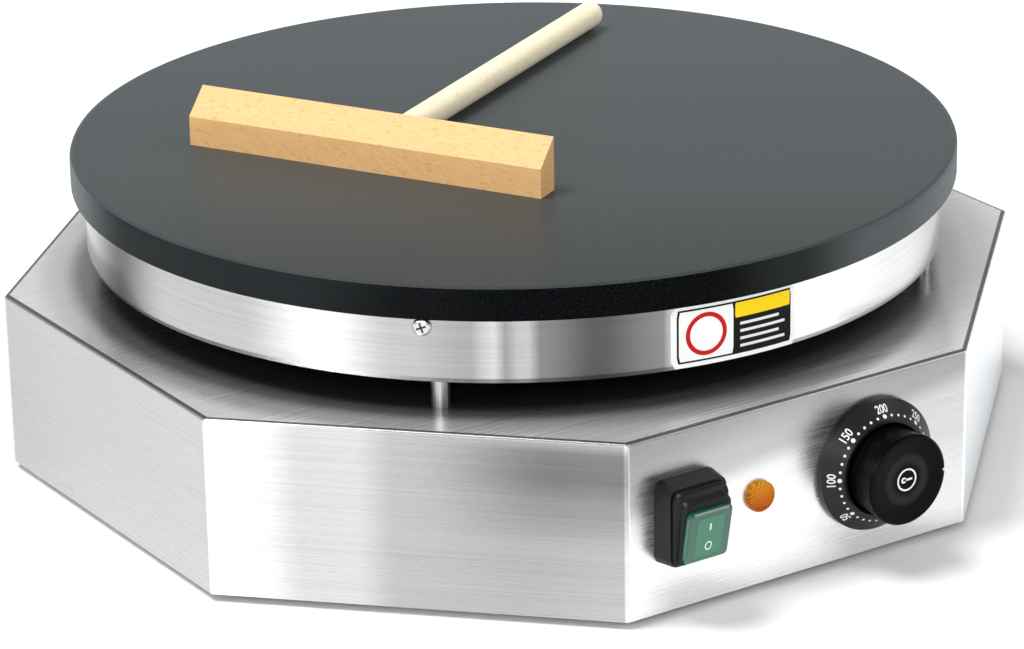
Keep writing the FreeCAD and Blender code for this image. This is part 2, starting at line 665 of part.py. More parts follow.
# Thermostat: boxed switch on a bracket behind the wall, with a flatted shaft.
def thermostat():
    at = ("knob_offset", "-half_flats", "controls_z")
    body = new_body("thermostat_body", at=at, turned=FACING_FRONT)
    bracket = draw(body, "XY_Plane", [box_outline("0", "0", "bracket_width", "bracket_height")], lift="-base_sheet")
    pad(body, bracket, "bracket_sheet", backwards=True)
    back = "-base_sheet - bracket_sheet"
    box = draw(body, "XY_Plane", [box_outline("0", "0", "thermostat_width", "thermostat_width")], lift=back)
    pad(body, box, "thermostat_depth", backwards=True)
    bushing = draw(body, "XY_Plane", circles=[(0, 0, "bushing_radius")], lift="-base_sheet - bracket_sheet")
    pad(body, bushing, "base_sheet + bracket_sheet + dial_floor")
    blades = [box_outline("%s blade_terminal_pitch" % s, "0", "blade_terminal_thickness", "blade_terminal_width")
              for s in ("-", "")]
    pad(body, draw(body, "XY_Plane", blades, lift=back + " - thermostat_depth"), "blade_terminal_length", backwards=True)
    bore = draw(body, "XY_Plane", circles=[(0, 0, "shaft_radius + shaft_fit")], lift="-shaft_back - contact_gap")
    pocket(body, bore, "shaft_back + dial_floor + 1")
    holes = [("%s dial_screw_spacing / 2" % s, 0, "dial_screw_radius + hole_fit") for s in ("-", "")]
    pocket(body, draw(body, "XY_Plane", circles=holes, lift="-base_sheet"), "bracket_sheet", backwards=False)

    shaft = new_body("thermostat_shaft", at=at, turned=FACING_FRONT)
    pad(shaft, draw(shaft, "XY_Plane", circles=[(0, 0, "shaft_radius")], lift="-shaft_back"), "shaft_back + shaft_front")
    flat = box_outline("shaft_flat + shaft_radius", "0", "2 * shaft_radius", "3 * shaft_radius")
    pocket(shaft, draw(shaft, "XY_Plane", [flat], lift="knob_back"), "shaft_front")

    bulb = new_body("thermostat_bulb", at=("bulb_start", 0, "bulb_height"), turned=FreeCAD.Rotation(Y, 90))
    pad(bulb, draw(bulb, "XY_Plane", circles=[(0, 0, "bulb_radius")]), "bulb_length")
    clips = new_body("bulb_clips")
    top, half = "rim_under", "(bulb_radius + contact_gap + clip_sheet)"
    inner, low = "(bulb_radius + contact_gap)", "bulb_height - bulb_radius - contact_gap - clip_sheet"
    right = [(half + " + clip_ear", top), (half + " + clip_ear", top + " - clip_sheet"), (half, top + " - clip_sheet"),
             (half, low)]
    hollow = [(inner, top), (inner, low + " + clip_sheet")]
    mirror = lambda points: [("-(%s)" % x, z) for x, z in reversed(points)]
    outline = right + mirror(right) + mirror(hollow[::-1]) + hollow[::-1]
    for along in ("bulb_start + bulb_length / 6", "bulb_start + bulb_length * 4 / 6"):
        pad(clips, draw(clips, "YZ_Plane", [outline], lift=along), "clip_width")


# Switch: boxed rocker switch with a flange outside the wall and a rubber boot over it.
def switch():
    at = ("switch_offset", "-half_flats", "switch_z")
    body = new_body("switch_body", at=at, turned=FACING_FRONT)
    box = draw(body, "XY_Plane", [box_outline("0", "0", "switch_body_width", "switch_body_height")],
               lift="-switch_body_depth")
    pad(body, box, "switch_body_depth")
    flange = draw(body, "XY_Plane", [box_outline("0", "0", "switch_flange_width", "switch_flange_height")])
    pad(body, flange, "switch_flange_depth")
    well = draw(body, "XY_Plane", [box_outline("0", "0", "switch_well_width", "switch_well_height")],
                lift="-switch_well_depth")
    pocket(body, well, "switch_well_depth + switch_flange_depth + 1")
    pivot = draw(body, "YZ_Plane", circles=[(0, "rocker_pivot_depth", "rocker_pin_radius + shaft_fit")])
    reach = "rocker_neck_width / 2 + rocker_pin_reach + hole_fit"
    for backwards in (True, False):
        pocket(body, pivot, reach, backwards)

    blades = new_body("switch_terminals", at=at, turned=FACING_FRONT)
    outlines = [box_outline("%s blade_terminal_pitch / 2" % s, "%s blade_terminal_pitch" % r, "blade_terminal_thickness",
                            "blade_terminal_width") for s in ("-", "") for r in ("-", "")]
    pad(blades, draw(blades, "XY_Plane", outlines, lift="-switch_body_depth"), "blade_terminal_length", backwards=True)

    boot = new_body("switch_boot", at=at, turned=FACING_FRONT)
    pad(boot, draw(boot, "XY_Plane", [soft_box("boot_width", "boot_height", "boot_corner")]), "boot_depth",
        taper="-boot_taper")
    recess = box_outline("0", "0", "switch_flange_width + switch_fit", "switch_flange_height + switch_fit")
    pocket(boot, draw(boot, "XY_Plane", [recess]), "switch_flange_depth + contact_gap")
    opening = box_outline("0", "0", "boot_opening_width", "boot_opening_height")
    pocket(boot, draw(boot, "XY_Plane", [opening]), "boot_depth + 1")

    rocker = new_body("switch_rocker", at=("switch_offset", "-half_flats - rocker_pivot_depth", "switch_z"),
                      turned=FreeCAD.Rotation(X, 90 + size("rocker_tilt")))
    outline = soft_box("rocker_cap_width", "rocker_cap_height", "rocker_cap_corner")
    cap = pad(rocker, draw(rocker, "XY_Plane", [outline], lift="rocker_cap_back - rocker_pivot_depth"),
              "rocker_cap_front - rocker_cap_back")
    level = size("rocker_cap_front") - size("rocker_pivot_depth") - NEAR
    dress(rocker, "Chamfer", cap, lambda edge: edge.BoundBox.ZMin > level, "rocker_cap_corner / 3")
    neck = draw(rocker, "XY_Plane", [box_outline("0", "0", "rocker_neck_width", "rocker_neck_height")],
                lift="-rocker_neck_tail")
    pad(rocker, neck, "rocker_neck_tail + rocker_cap_back - rocker_pivot_depth + rocker_cap_corner")
    pins = draw(rocker, "YZ_Plane", circles=[(0, 0, "rocker_pin_radius")])
    for backwards in (True, False):
        pad(rocker, pins, "rocker_neck_width / 2 + rocker_pin_reach", backwards)


def pilot_lamp():
    at = ("lamp_offset", "-half_flats", "controls_z")
    lens = new_body("lamp_lens", at=at, turned=FACING_FRONT)
    turn(lens, [(0, 0), ("lens_radius", 0), ("lens_radius", "lens_depth - lens_bevel"),
                ("lens_radius - lens_bevel", "lens_depth"), (0, "lens_depth")])
    body = new_body("lamp_body", at=at, turned=FACING_FRONT)
    pad(body, draw(body, "XY_Plane", circles=[(0, 0, "lamp_body_radius")]), "lamp_body_depth", backwards=True)
    behind = ("lamp_offset", "-half_flats + base_sheet + lamp_nut_height", "controls_z")
    ring_nut("lamp_nut", behind, FACING_FRONT, "lamp_nut_radius", "lamp_body_radius + hole_fit", "lamp_nut_height")


# Mains entry: gland through the back wall, terminal block and earth stud on the cover.
def mains_entry():
    at = (0, "half_flats", "controls_z")
    body = new_body("gland_body", at=at, turned=FACING_BACK)
    corner = "gland_hex / cos(30 deg)"
    pad(body, draw(body, "XY_Plane", [[on_circle(corner, 60 * n) for n in range(6)]]), "gland_hex_height")
    pad(body, draw(body, "XY_Plane", circles=[(0, 0, "gland_radius")]), "base_sheet + gland_tail", backwards=True)
    pad(body, draw(body, "XY_Plane", circles=[(0, 0, "gland_neck")]), "gland_hex_height + gland_neck_height")
    bore = draw(body, "XY_Plane", circles=[(0, 0, "gland_bore")], lift="-base_sheet - gland_tail - 1")
    pocket(body, bore, "gland_reach + base_sheet + gland_tail + 2")
    cap = new_body("gland_cap", at=at, turned=FACING_BACK)
    low, high = "gland_hex_height + contact_gap", "gland_hex_height + gland_neck_height + contact_gap"
    turn(cap, [("gland_bore", high), ("gland_cap_radius * 0.86", high), ("gland_cap_nose", "gland_reach"),
               ("gland_bore", "gland_reach")])
    skirt = [on_circle("gland_cap_radius", 60 * n) for n in range(6)]
    pad(cap, draw(cap, "XY_Plane", [skirt], [(0, 0, "gland_neck + hole_fit")], lift=low), "gland_neck_height")
    ring_nut("gland_nut", (0, "half_flats - base_sheet - gland_nut_height", "controls_z"), FACING_BACK,
             "gland_nut_radius", "gland_radius + hole_fit", "gland_nut_height")

    block = new_body("terminal_block", at=(0, "block_place", "wall_bottom"))
    pad(block, draw(block, "XY_Plane", [box_outline("0", "0", "block_width", "block_depth")]), "block_height")
    gaps = [box_outline("%s block_pitch / 2" % s, "0", "pan_sheet * 2", "block_depth + 2") for s in ("-", "")]
    pocket(block, draw(block, "XY_Plane", gaps, lift="block_height - block_slot"), "block_slot + 1")
    places = [("block_pitch * %d" % n, "%s block_depth / 4" % s) for n in (-1, 0, 1) for s in ("-", "")]
    holes = [(x, y, "block_screw_radius + hole_fit") for x, y in places]
    pocket(block, draw(block, "XY_Plane", circles=holes, lift="block_height - block_screw_height"),
           "block_screw_height + 1")
    screws = new_body("terminal_screws", at=(0, "block_place", "wall_bottom + block_height - block_screw_height"))
    pad(screws, draw(screws, "XY_Plane", circles=[(x, y, "block_screw_radius") for x, y in places]),
        "block_screw_height - contact_gap")

    earth = new_body("earth_stud", at=("earth_place", "block_place", "wall_bottom"))
    pad(earth, draw(earth, "XY_Plane", circles=[(0, 0, "earth_radius")]), "earth_height")
    pad(earth, draw(earth, "XY_Plane", [hexagon("nut_flats")]), "nut_height")


# Spreader: wedge-section blade with the handle's dowel let into its tall side.
def spreader():
    yaw = FreeCAD.Rotation(Z, size("spreader_yaw"))
    blade = new_body("spreader_blade", at=("spreader_east", "spreader_north", "plate_top"), turned=yaw)
    front, back = "-blade_thickness / 2", "blade_thickness / 2"
    section = [(front, 0), (back, 0), (back, "blade_back_height"), (front, "blade_front_height")]
    pad(blade, draw(blade, "YZ_Plane", [section], lift="-blade_length / 2"), "blade_length")
    socket = draw(blade, "XZ_Plane", circles=[(0, "handle_height", "handle_radius + hole_fit")],
                  lift="-blade_thickness / 2")
    pocket(blade, socket, "handle_socket", backwards=True)
    reach = "(blade_thickness / 2 - handle_socket + contact_gap)"
    at = ("spreader_east - %s * sin(spreader_yaw * 1 deg)" % reach,
          "spreader_north + %s * cos(spreader_yaw * 1 deg)" % reach, "plate_top + handle_height")
    handle = new_body("spreader_handle", at=at, turned=yaw.multiply(FACING_BACK))
    rod = pad(handle, draw(handle, "XY_Plane", circles=[(0, 0, "handle_radius")]), "handle_length + handle_socket")
    top = size("handle_length") + size("handle_socket")
    dress(handle, "Fillet", rod, lambda edge: edge.BoundBox.ZMin > top - NEAR, "handle_end_round")


def held_lead(label, radius, points):
    """A wire held inside the base: straight runs joined by arcs as large as the runs allow."""
    points = [FreeCAD.Vector(*point) for point in points]
    edges, last = [], points[0]
    for before, corner, after in zip(points, points[1:], points[2:]):
        back, ahead = before - corner, after - corner
        run = 0.45 * min(back.Length, ahead.Length)
        back.normalize()
        ahead.normalize()
        start, end = corner + back * run, corner + ahead * run
        middle_way = (back + ahead).normalize()
        half_turn = (math.pi - back.getAngle(ahead)) / 2
        bend = run / math.tan(half_turn)
        middle = corner + middle_way * (bend / math.cos(half_turn) - bend)
        edges += [Part.LineSegment(last, start).toShape(), Part.Arc(start, middle, end).toShape()]
        last = end
    edges.append(Part.LineSegment(last, points[-1]).toShape())
    path = Part.Wire(edges)
    ring = Part.makeCircle(radius, points[0], points[1] - points[0]).discretize(LEAD_SIDES + 1)
    ring = Part.makePolygon(ring)
    tube = path.makePipeShell([ring], True, False)
    face = LEAD_SIDES / 2 * radius * radius * math.sin(2 * math.pi / LEAD_SIDES)
    if abs(tube.Volume / (face * path.Length) - 1) > NEAR:
        raise SystemExit("%s is not whole" % label)
    feature = doc.addObject("Part::Feature", label)
    feature.Label = label
    feature.Shape = tube
    PIECES.append(feature)


# Wiring: the leads that the housing holds, each from terminal to terminal, and the sensing tube.
def wiring():
    front, controls, sill, deck = -size("half_flats"), size("controls_z"), size("wall_bottom"), size("deck_top")
    lead, knob_x, switch_x = size("lead_radius"), size("knob_offset"), size("switch_offset")
    start = size("contact_gap")
    blades = front + size("switch_body_depth") + size("blade_terminal_length") + start
    box_back = front + size("base_sheet") + size("bracket_sheet") + size("thermostat_depth")
    thermal = box_back + size("blade_terminal_length") + start
    block_front = size("block_place") - size("block_depth") / 2 - start
    block_back = size("block_place") + size("block_depth") / 2 + start
    block_level = sill + size("block_height") / 3
    pitch, pole = size("blade_terminal_pitch"), size("block_pitch")
    low = size("switch_z") - pitch
    above = size("pan_top") + size("blanket_thickness") + 3 * lead
    held_lead("lead_supply", lead, [
        (-pole, block_front, block_level), (-pole - 8, block_front - 60, block_level + 4),
        (switch_x - 8, -60, block_level + 14), (switch_x - pitch / 2, blades + 42, low),
        (switch_x - pitch / 2, blades, low)])
    held_lead("lead_switched", lead, [
        (switch_x + pitch / 2, blades, low), (switch_x + pitch / 2, blades + 30, low),
        (-14, blades + 55, controls), (knob_x - pitch, thermal + 32, controls), (knob_x - pitch, thermal, controls)])
    ways = {}
    for circle, side in (("heater_outer_circle", -1), ("heater_inner_circle", 1)):
        angle = math.radians(side * (size("heater_gap_angle") / 2 + size("heater_leg_inset")))
        reach = size(circle) - size("heater_leg_radius") - start
        ways[circle] = (reach * math.cos(angle), reach * math.sin(angle), above)
    held_lead("lead_outer_heater", lead, [
        (knob_x + pitch, thermal, controls), (knob_x + pitch, thermal + 45, controls + 2), (7, -34, controls + 6),
        (4, -3, deck - 8), (4, -3, deck + 20), (24, -7, above), (95, -8, above), ways["heater_outer_circle"]])
    held_lead("lead_inner_heater", lead, [
        (pole, block_front, block_level), (pole + 4, block_front - 50, block_level + 4), (2, 36, controls - 4),
        (-4, 7, deck - 10), (-4, 7, deck + 18), (24, 11, above), ways["heater_inner_circle"]])
    stud = size("earth_place") - size("nut_flats") * 0.75
    held_lead("lead_earth", lead, [
        (stud, block_back - 11, sill + 3), (stud - 18, block_back + 4, block_level),
        (0, block_back + 20, block_level), (0, block_back, block_level)])
    bulb = size("bulb_height")
    held_lead("capillary_tube", size("capillary_radius"), [
        (knob_x, box_back + start, controls + 12), (knob_x, box_back + 40, controls + 14), (2, -44, controls + 22),
        (-2, -5, deck - 12), (-2, -5, deck + 20), (24, 0, bulb), (size("bulb_start") - start, 0, bulb)])


base_housing()
base_cover()
feet()
screw_ring("cover_screws", "(half_flats - base_flange / 2)", "foot_drop", "cover_screw_radius", "cover_screw_length",
           "cover_screw_head_radius", "cover_screw_head_height", 4)
posts()
griddle_plate()
skirt_ring()
skirt_screws()
pan_floor()
fibre_blanket()
heaters()
heater_straps()
screw_ring("strap_screws", "strap_middle", "strap_under", "strap_screw_radius", "strap_screw_length",
           "strap_screw_head_radius", "strap_screw_head_height", 3, turned=60)
conduit()
dial_ring()
dial_screws()
knob()
thermostat()
switch()
pilot_lamp()
mains_entry()
spreader()
wiring()
doc.recompute()

for thing in doc.Objects:
    if "Invalid" in thing.State or "Error" in thing.State:
        raise SystemExit("%s failed: %s" % (thing.Label, thing.State))
    if thing.TypeId in ("PartDesign::Pocket", "PartDesign::Groove"):
        if thing.Shape.Volume > thing.BaseFeature.Shape.Volume - NEAR:
            raise SystemExit("%s cuts nothing" % thing.Label)
os.makedirs("parts", exist_ok=True)
for piece in PIECES:
    if piece.Shape.isNull() or not piece.Shape.isValid() or not piece.Shape.Solids:
        raise SystemExit("%s has no sound shape" % piece.Label)
    piece.Shape.exportStep("parts/%s.step" % piece.Label)
    print("%-20s %2d solids, %9.1f mm3" % (piece.Label, len(piece.Shape.Solids), piece.Shape.Volume))
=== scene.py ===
"""Looks of the electric crepe maker: finishes for the CAD pieces, and the soft and printed pieces on them.

Metres, +Z up, the control panel faces -Y. The sections follow the object from its base up to the spreader.
"""

import math

import bpy
import numpy as np
from mathutils import Matrix, Vector


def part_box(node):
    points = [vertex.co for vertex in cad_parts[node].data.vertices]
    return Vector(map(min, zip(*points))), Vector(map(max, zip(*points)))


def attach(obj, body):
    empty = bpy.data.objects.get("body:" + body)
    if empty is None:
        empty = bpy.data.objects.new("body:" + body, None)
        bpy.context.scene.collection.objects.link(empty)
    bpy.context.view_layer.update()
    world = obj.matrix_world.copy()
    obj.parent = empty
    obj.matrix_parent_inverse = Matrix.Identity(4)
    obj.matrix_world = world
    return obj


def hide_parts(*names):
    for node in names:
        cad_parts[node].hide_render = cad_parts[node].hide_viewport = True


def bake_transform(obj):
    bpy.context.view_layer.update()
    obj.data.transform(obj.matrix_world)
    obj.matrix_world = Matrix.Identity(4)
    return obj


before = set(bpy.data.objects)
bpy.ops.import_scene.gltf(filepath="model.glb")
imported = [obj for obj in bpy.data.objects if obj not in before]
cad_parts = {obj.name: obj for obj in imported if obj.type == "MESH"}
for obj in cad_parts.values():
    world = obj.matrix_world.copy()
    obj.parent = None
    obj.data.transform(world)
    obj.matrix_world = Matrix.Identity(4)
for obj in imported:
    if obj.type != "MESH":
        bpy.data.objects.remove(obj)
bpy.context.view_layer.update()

# Base housing: one octagonal shell folded from brushed stainless sheet, open below, that carries the rest.
# Its grain runs level on the walls and across the deck. The broad pale and grey bands are painted shade and
# painted reflections, and each wall has its own lighter or darker copy of the steel for how it is lit.
MM = 0.001
housing_low, housing_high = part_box("base_housing")
HALF = housing_high.x
DECK = housing_high.z
SILL = housing_low.z
SIDE = HALF * math.tan(math.radians(22.5))
CORNER = math.sqrt(0.5)
SHEET, FACING = 1.1 * MM, 0.7
LEVEL_GRAIN, DECK_GRAIN = (5, 5, 1100), (6, 800, 6)
# Painted highlight near the wall folds, and a painted dark line and painted shade on the deck.
FOLD_START, FOLD_END, FOLD_PAINTED_HIGHLIGHT = 1.6 * MM, 0.8 * MM, (0.35, 0.35, 0.35, 1)
LINE_START, LINE_END = 2.4 * MM, 1.8 * MM
DECK_MIDDLE, DECK_NEAR, DECK_FAR = (0.007, 0, 0), 0.15, 0.25


def add(tree, kind, settings=None, **inputs):
    """Add a shader node. An input is a value or another node's socket; i0, i1 and so on name it by place,
    and in other names an underscore stands for a space."""
    made = tree.nodes.new("ShaderNode" + kind)
    for name, value in (settings or {}).items():
        setattr(made, name, value)
    for name, value in inputs.items():
        by_place = name[0] == "i" and name[1:].isdigit()
        socket = made.inputs[int(name[1:])] if by_place else made.inputs[name.replace("_", " ")]
        if isinstance(value, bpy.types.NodeSocket):
            tree.links.new(value, socket)
        else:
            socket.default_value = value
    return made


def dot(tree, place, way):
    """How far a point lies along a direction."""
    return add(tree, "VectorMath", {"operation": "DOT_PRODUCT"}, i0=place, i1=way).outputs["Value"]


def scaled(tree, place, scale):
    """A point with each of its three values multiplied."""
    return add(tree, "VectorMath", {"operation": "MULTIPLY"}, i0=place, i1=scale).outputs[0]


def figure(tree, operation, *values):
    """The result of a sum on numbers."""
    inputs = {"i%d" % place: value for place, value in enumerate(values)}
    return add(tree, "Math", {"operation": operation}, **inputs).outputs[0]


def remap(tree, value, low, high, to_low=0.0, to_high=1.0):
    """A value carried over from one range to another, and held at its ends."""
    ends = {"From_Min": low, "From_Max": high, "To_Min": to_low, "To_Max": to_high}
    return add(tree, "MapRange", Value=value, **ends).outputs[0]


def mix(tree, first, second, share=1.0, way="MULTIPLY"):
    """Two colours multiplied, added or mixed, by a share."""
    settings = {"data_type": "RGBA", "blend_type": way}
    return add(tree, "Mix", settings, Factor=share, i6=first, i7=second).outputs[2]


def along(tree, place, direction, low, high):
    """How far a point lies along a direction, as 0 at low and 1 at high, in metres."""
    return remap(tree, dot(tree, place, direction), low, high)


def ramp(tree, value, stops):
    """A smooth colour ramp of (position, grey) stops."""
    made = add(tree, "ValToRGB", Fac=value)
    made.color_ramp.interpolation = "EASE"
    elements = made.color_ramp.elements
    while len(elements) < len(stops):
        elements.new(0.5)
    for element, (position, grey) in zip(elements, stops):
        element.position = position
        element.color = (grey, grey, grey, 1)
    return made.outputs[0]


def shader_group(name, inputs, outputs):
    """An empty shader node group with named sockets, each (label, type, starting value)."""
    tree = bpy.data.node_groups.new(name, "ShaderNodeTree")
    for way, sockets in (("INPUT", inputs), ("OUTPUT", outputs)):
        for label, kind, value in sockets:
            socket = tree.interface.new_socket(label, in_out=way, socket_type="NodeSocket" + kind)
            if value is not None:
                socket.default_value = value
    return tree, tree.nodes.new("NodeGroupInput").outputs, tree.nodes.new("NodeGroupOutput").inputs


def use_group(tree, group, **inputs):
    """The outputs of a shared node group placed in a material."""
    return add(tree, "Group", {"node_tree": group}, **inputs).outputs


def finish(name, colour, roughness=0.5, metal=0.0, **more):
    """A material with its constants set on its own Principled shader; gives it with its tree and shader."""
    made = bpy.data.materials.new(name)
    made.use_nodes = True
    shader = made.node_tree.nodes["Principled BSDF"]
    shader.inputs["Base Color"].default_value = (*colour, 1)
    shader.inputs["Roughness"].default_value = roughness
    shader.inputs["Metallic"].default_value = metal
    for key, value in more.items():
        shader.inputs[key.replace("_", " ")].default_value = value
    return made, made.node_tree, shader


def object_place(tree):
    """The point in the shared frame, which is also the object's own frame."""
    return add(tree, "TexCoord").outputs["Object"]


def roughen(tree, shader, height, strength, distance):
    """Tie a bump of the height to the shader."""
    bump = add(tree, "Bump", Strength=strength, Distance=distance, Height=height)
    tree.links.new(bump.outputs[0], shader.inputs["Normal"])


# The grain of every brushed sheet: noise squeezed to fine lines, value(p) = noise(p * Scale).
BRUSHED, group_in, group_out = shader_group(
    "Brushed grain", [("Vector", "Vector", None), ("Scale", "Vector", (8, 8, 900))],
    [("Streak", "Float", None)])
squeezed = scaled(BRUSHED, group_in["Vector"], group_in["Scale"])
hairs = add(BRUSHED, "TexNoise", Vector=squeezed, Scale=1.0, Detail=6.0, Roughness=0.62)
BRUSHED.links.new(remap(BRUSHED, hairs.outputs[0], 0.3, 0.7), group_out["Streak"])


def brushed_steel(name, scale, dark, light, roughness=0.28, shade=None, metal=1.0):
    """Brushed sheet: fine lines lighten and darken it; shade(tree, place) may lay painted shade and
    reflection over it.
    """
    made, tree, shader = finish(name, light, roughness, metal)
    place = object_place(tree)
    streak = use_group(tree, BRUSHED, Vector=place, Scale=scale)["Streak"]
    colour = mix(tree, (*dark, 1), (*light, 1), streak, "MIX")
    if shade is not None:
        colour = mix(tree, colour, shade(tree, place))
    tree.links.new(colour, shader.inputs["Base Color"])
    uneven = remap(tree, streak, 0.0, 1.0, roughness - 0.06, roughness + 0.08)
    tree.links.new(uneven, shader.inputs["Roughness"])
    roughen(tree, shader, streak, 0.02, 0.001)
    return made


def wall_shade(direction, stops, tilt=0.0, band=None):
    """Painted shade and reflection along a wall, leaning with height by tilt, with a painted highlight near
    the folds at its ends. The stops of band paint shade on the wall's far end, from the sill up."""
    def shade(tree, place):
        ends = (tilt * SILL, tilt * DECK)
        leaning = (direction[0], direction[1], tilt)
        tone = ramp(tree, along(tree, place, leaning, -SIDE + min(ends), SIDE + max(ends)), stops)
        across = figure(tree, "ABSOLUTE", dot(tree, place, (*direction, 0)))
        tone = mix(tree, tone, FOLD_PAINTED_HIGHLIGHT, remap(tree, across, SIDE - FOLD_START, SIDE - FOLD_END), "ADD")
        if band is None:
            return tone
        rows = ramp(tree, along(tree, place, (0, 0, 1), SILL, DECK), band)
        far = ramp(tree, along(tree, place, (*direction, 0), -SIDE, SIDE), [(0.45, 0.0), (0.85, 1.0)])
        return mix(tree, tone, rows, far)
    return shade


def deck_shade(tree, place):
    """Painted shade and reflection: dark under the pan and paler towards the folds, by the distance from a
    line near the Z axis, with a fine painted dark line where the sheet turns down, by the largest |p . side|
    of the eight sides."""
    flat = add(tree, "VectorMath", {"operation": "MULTIPLY_ADD"}, i0=place, i1=(1, 1, 0), i2=DECK_MIDDLE)
    reach = add(tree, "VectorMath", {"operation": "LENGTH"}, i0=flat.outputs[0]).outputs["Value"]
    # Painted shade: the deck's reflection of the pan and skirt, dark near the middle.
    broad = ramp(tree, remap(tree, reach, DECK_NEAR, DECK_FAR),
                 [(0.0, 0.02), (0.30, 0.06), (0.40, 0.22), (0.52, 0.72), (0.66, 0.96), (1.0, 1.0)])
    edge = None
    for way in ((1, 0, 0), (0, 1, 0), (CORNER, CORNER, 0), (CORNER, -CORNER, 0)):
        side = figure(tree, "ABSOLUTE", dot(tree, place, way))
        edge = side if edge is None else figure(tree, "MAXIMUM", edge, side)
    # Painted dark line: the fold's reflection along the deck's edge.
    line = ramp(tree, remap(tree, edge, HALF - LINE_START, HALF - LINE_END),
                [(0.0, 1.0), (0.35, 0.25), (1.0, 0.15)])
    return mix(tree, broad, line)


def dress(node, *materials):
    """Give a CAD node its materials, the first everywhere."""
    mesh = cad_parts[node].data
    mesh.materials.clear()
    for material in materials:
        mesh.materials.append(material)
    mesh.polygons.foreach_set("material_index", np.zeros(len(mesh.polygons), int))
    return mesh


def pick_faces(mesh, index, chosen):
    """Give the faces whose (normal, centre) the chooser takes another of the node's materials."""
    for face in mesh.polygons:
        if chosen(face.normal, face.center):
            face.material_index = index


inner_steel = brushed_steel("steel_inside", LEVEL_GRAIN, (0.5, 0.5, 0.5), (0.58, 0.58, 0.58), 0.4)
deck_steel = brushed_steel("steel_deck", DECK_GRAIN, (0.84, 0.84, 0.84), (1, 1, 1), 0.22, deck_shade, 0.65)
# Painted shade and painted reflections laid over the panel and the walls beside it.
panel_shade = wall_shade(
    (1, 0), [(0.0, 0.30), (0.03, 0.33), (0.27, 0.52), (0.39, 0.88), (0.50, 0.94), (0.75, 1.0), (1.0, 1.0)],
    -8.0, [(0.0, 0.95), (0.3, 0.74), (0.6, 0.67), (1.0, 0.72)])
left_front_shade = wall_shade(
    (CORNER, -CORNER),
    [(0.0, 0.98), (0.13, 0.82), (0.23, 0.63), (0.35, 0.64), (0.46, 0.47), (0.75, 0.45), (1.0, 0.50)], 0.0,
    [(0.0, 1.0), (0.35, 0.92), (0.62, 0.62), (0.80, 0.40), (0.92, 0.44), (1.0, 0.90)])
left_shade = wall_shade((0, -1), [(0.0, 0.50), (0.5, 0.55), (1.0, 0.58)], 0.5)
# Each wall has its own copy of the steel, lighter or darker for how it is lit: the rear walls painted darker
# as shaded, the right front paler as a painted reflection.
walls = [
    (brushed_steel("steel_panel", LEVEL_GRAIN, (0.86, 0.86, 0.86), (1, 1, 1), shade=panel_shade), [(0, -1)]),
    (brushed_steel("steel_left_front", LEVEL_GRAIN, (0.84, 0.84, 0.84), (1, 1, 1), shade=left_front_shade),
     [(-CORNER, -CORNER)]),
    (brushed_steel("steel_left", LEVEL_GRAIN, (0.88, 0.88, 0.88), (1, 1, 1), shade=left_shade), [(-1, 0)]),
    (brushed_steel("steel_right_front", LEVEL_GRAIN, (0.86, 0.89, 0.91), (0.93, 0.96, 0.98), 0.36),
     [(CORNER, -CORNER)]),
    (brushed_steel("steel_rear", LEVEL_GRAIN, (0.42, 0.42, 0.42), (0.52, 0.52, 0.52), 0.32),
     [(0, 1), (1, 0), (CORNER, CORNER), (-CORNER, CORNER)]),
]
housing = dress("base_housing", inner_steel, deck_steel, *[steel for steel, _ in walls])
pick_faces(housing, 1, lambda normal, centre: normal.z > 0.5 and centre.z > DECK - 2 * MM)
for index, (_, ways) in enumerate(walls, start=2):
    for outward in [Vector((*way, 0)) for way in ways]:
        pick_faces(housing, index, lambda normal, centre:
                   normal.dot(outward) > FACING and centre.dot(outward) > HALF - SHEET)

# Base cover, feet and cover screws: a zinc-plated sheet, held by four screws, closes the base from below.
# It stands on four moulded rubber feet.
plated_steel = finish("plated_steel", (0.50, 0.51, 0.52), 0.35, 1.0)[0]
screw_steel = finish("screw_steel", (0.62, 0.62, 0.63), 0.25, 1.0)[0]
rubber = finish("rubber", (0.004, 0.005, 0.006), 0.42, Specular_IOR_Level=0.24)[0]
dress("base_cover", plated_steel)
dress("cover_screws", screw_steel)
dress("feet", rubber)

# Posts: four plated steel sleeves round threaded studs, which carry the plate over the deck.
# Nuts under the deck draw the studs tight.
dress("post_sleeves", plated_steel)
dress("post_studs", screw_steel)
dress("post_nuts", screw_steel)

# Skirt: ring rolled from polished, brushed stainless sheet, its lower edge turned in under the pan.
# Broad pale and grey bands are painted round it as its reflections.
skirt_low, skirt_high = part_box("skirt_ring")
SKIRT = skirt_high.x
LEFT_FRONT = math.radians(-123.4)


def painted_round_reflections(tree, place, stops):
    """Painted reflections: greys round the Z axis, by stops in degrees from the left front:
    atan2(p . side, p . front).
    """
    front = (math.cos(LEFT_FRONT), math.sin(LEFT_FRONT), 0)
    side = (-math.sin(LEFT_FRONT), math.cos(LEFT_FRONT), 0)
    turn = figure(tree, "ARCTAN2", dot(tree, place, side), dot(tree, place, front))
    shares = [((degrees + 180) / 360, grey) for degrees, grey in stops]
    return ramp(tree, remap(tree, turn, -math.pi, math.pi), shares)


skirt_steel, tree, shader = finish("skirt_steel", (0.8, 0.8, 0.8), 0.2, 0.74)
place = object_place(tree)
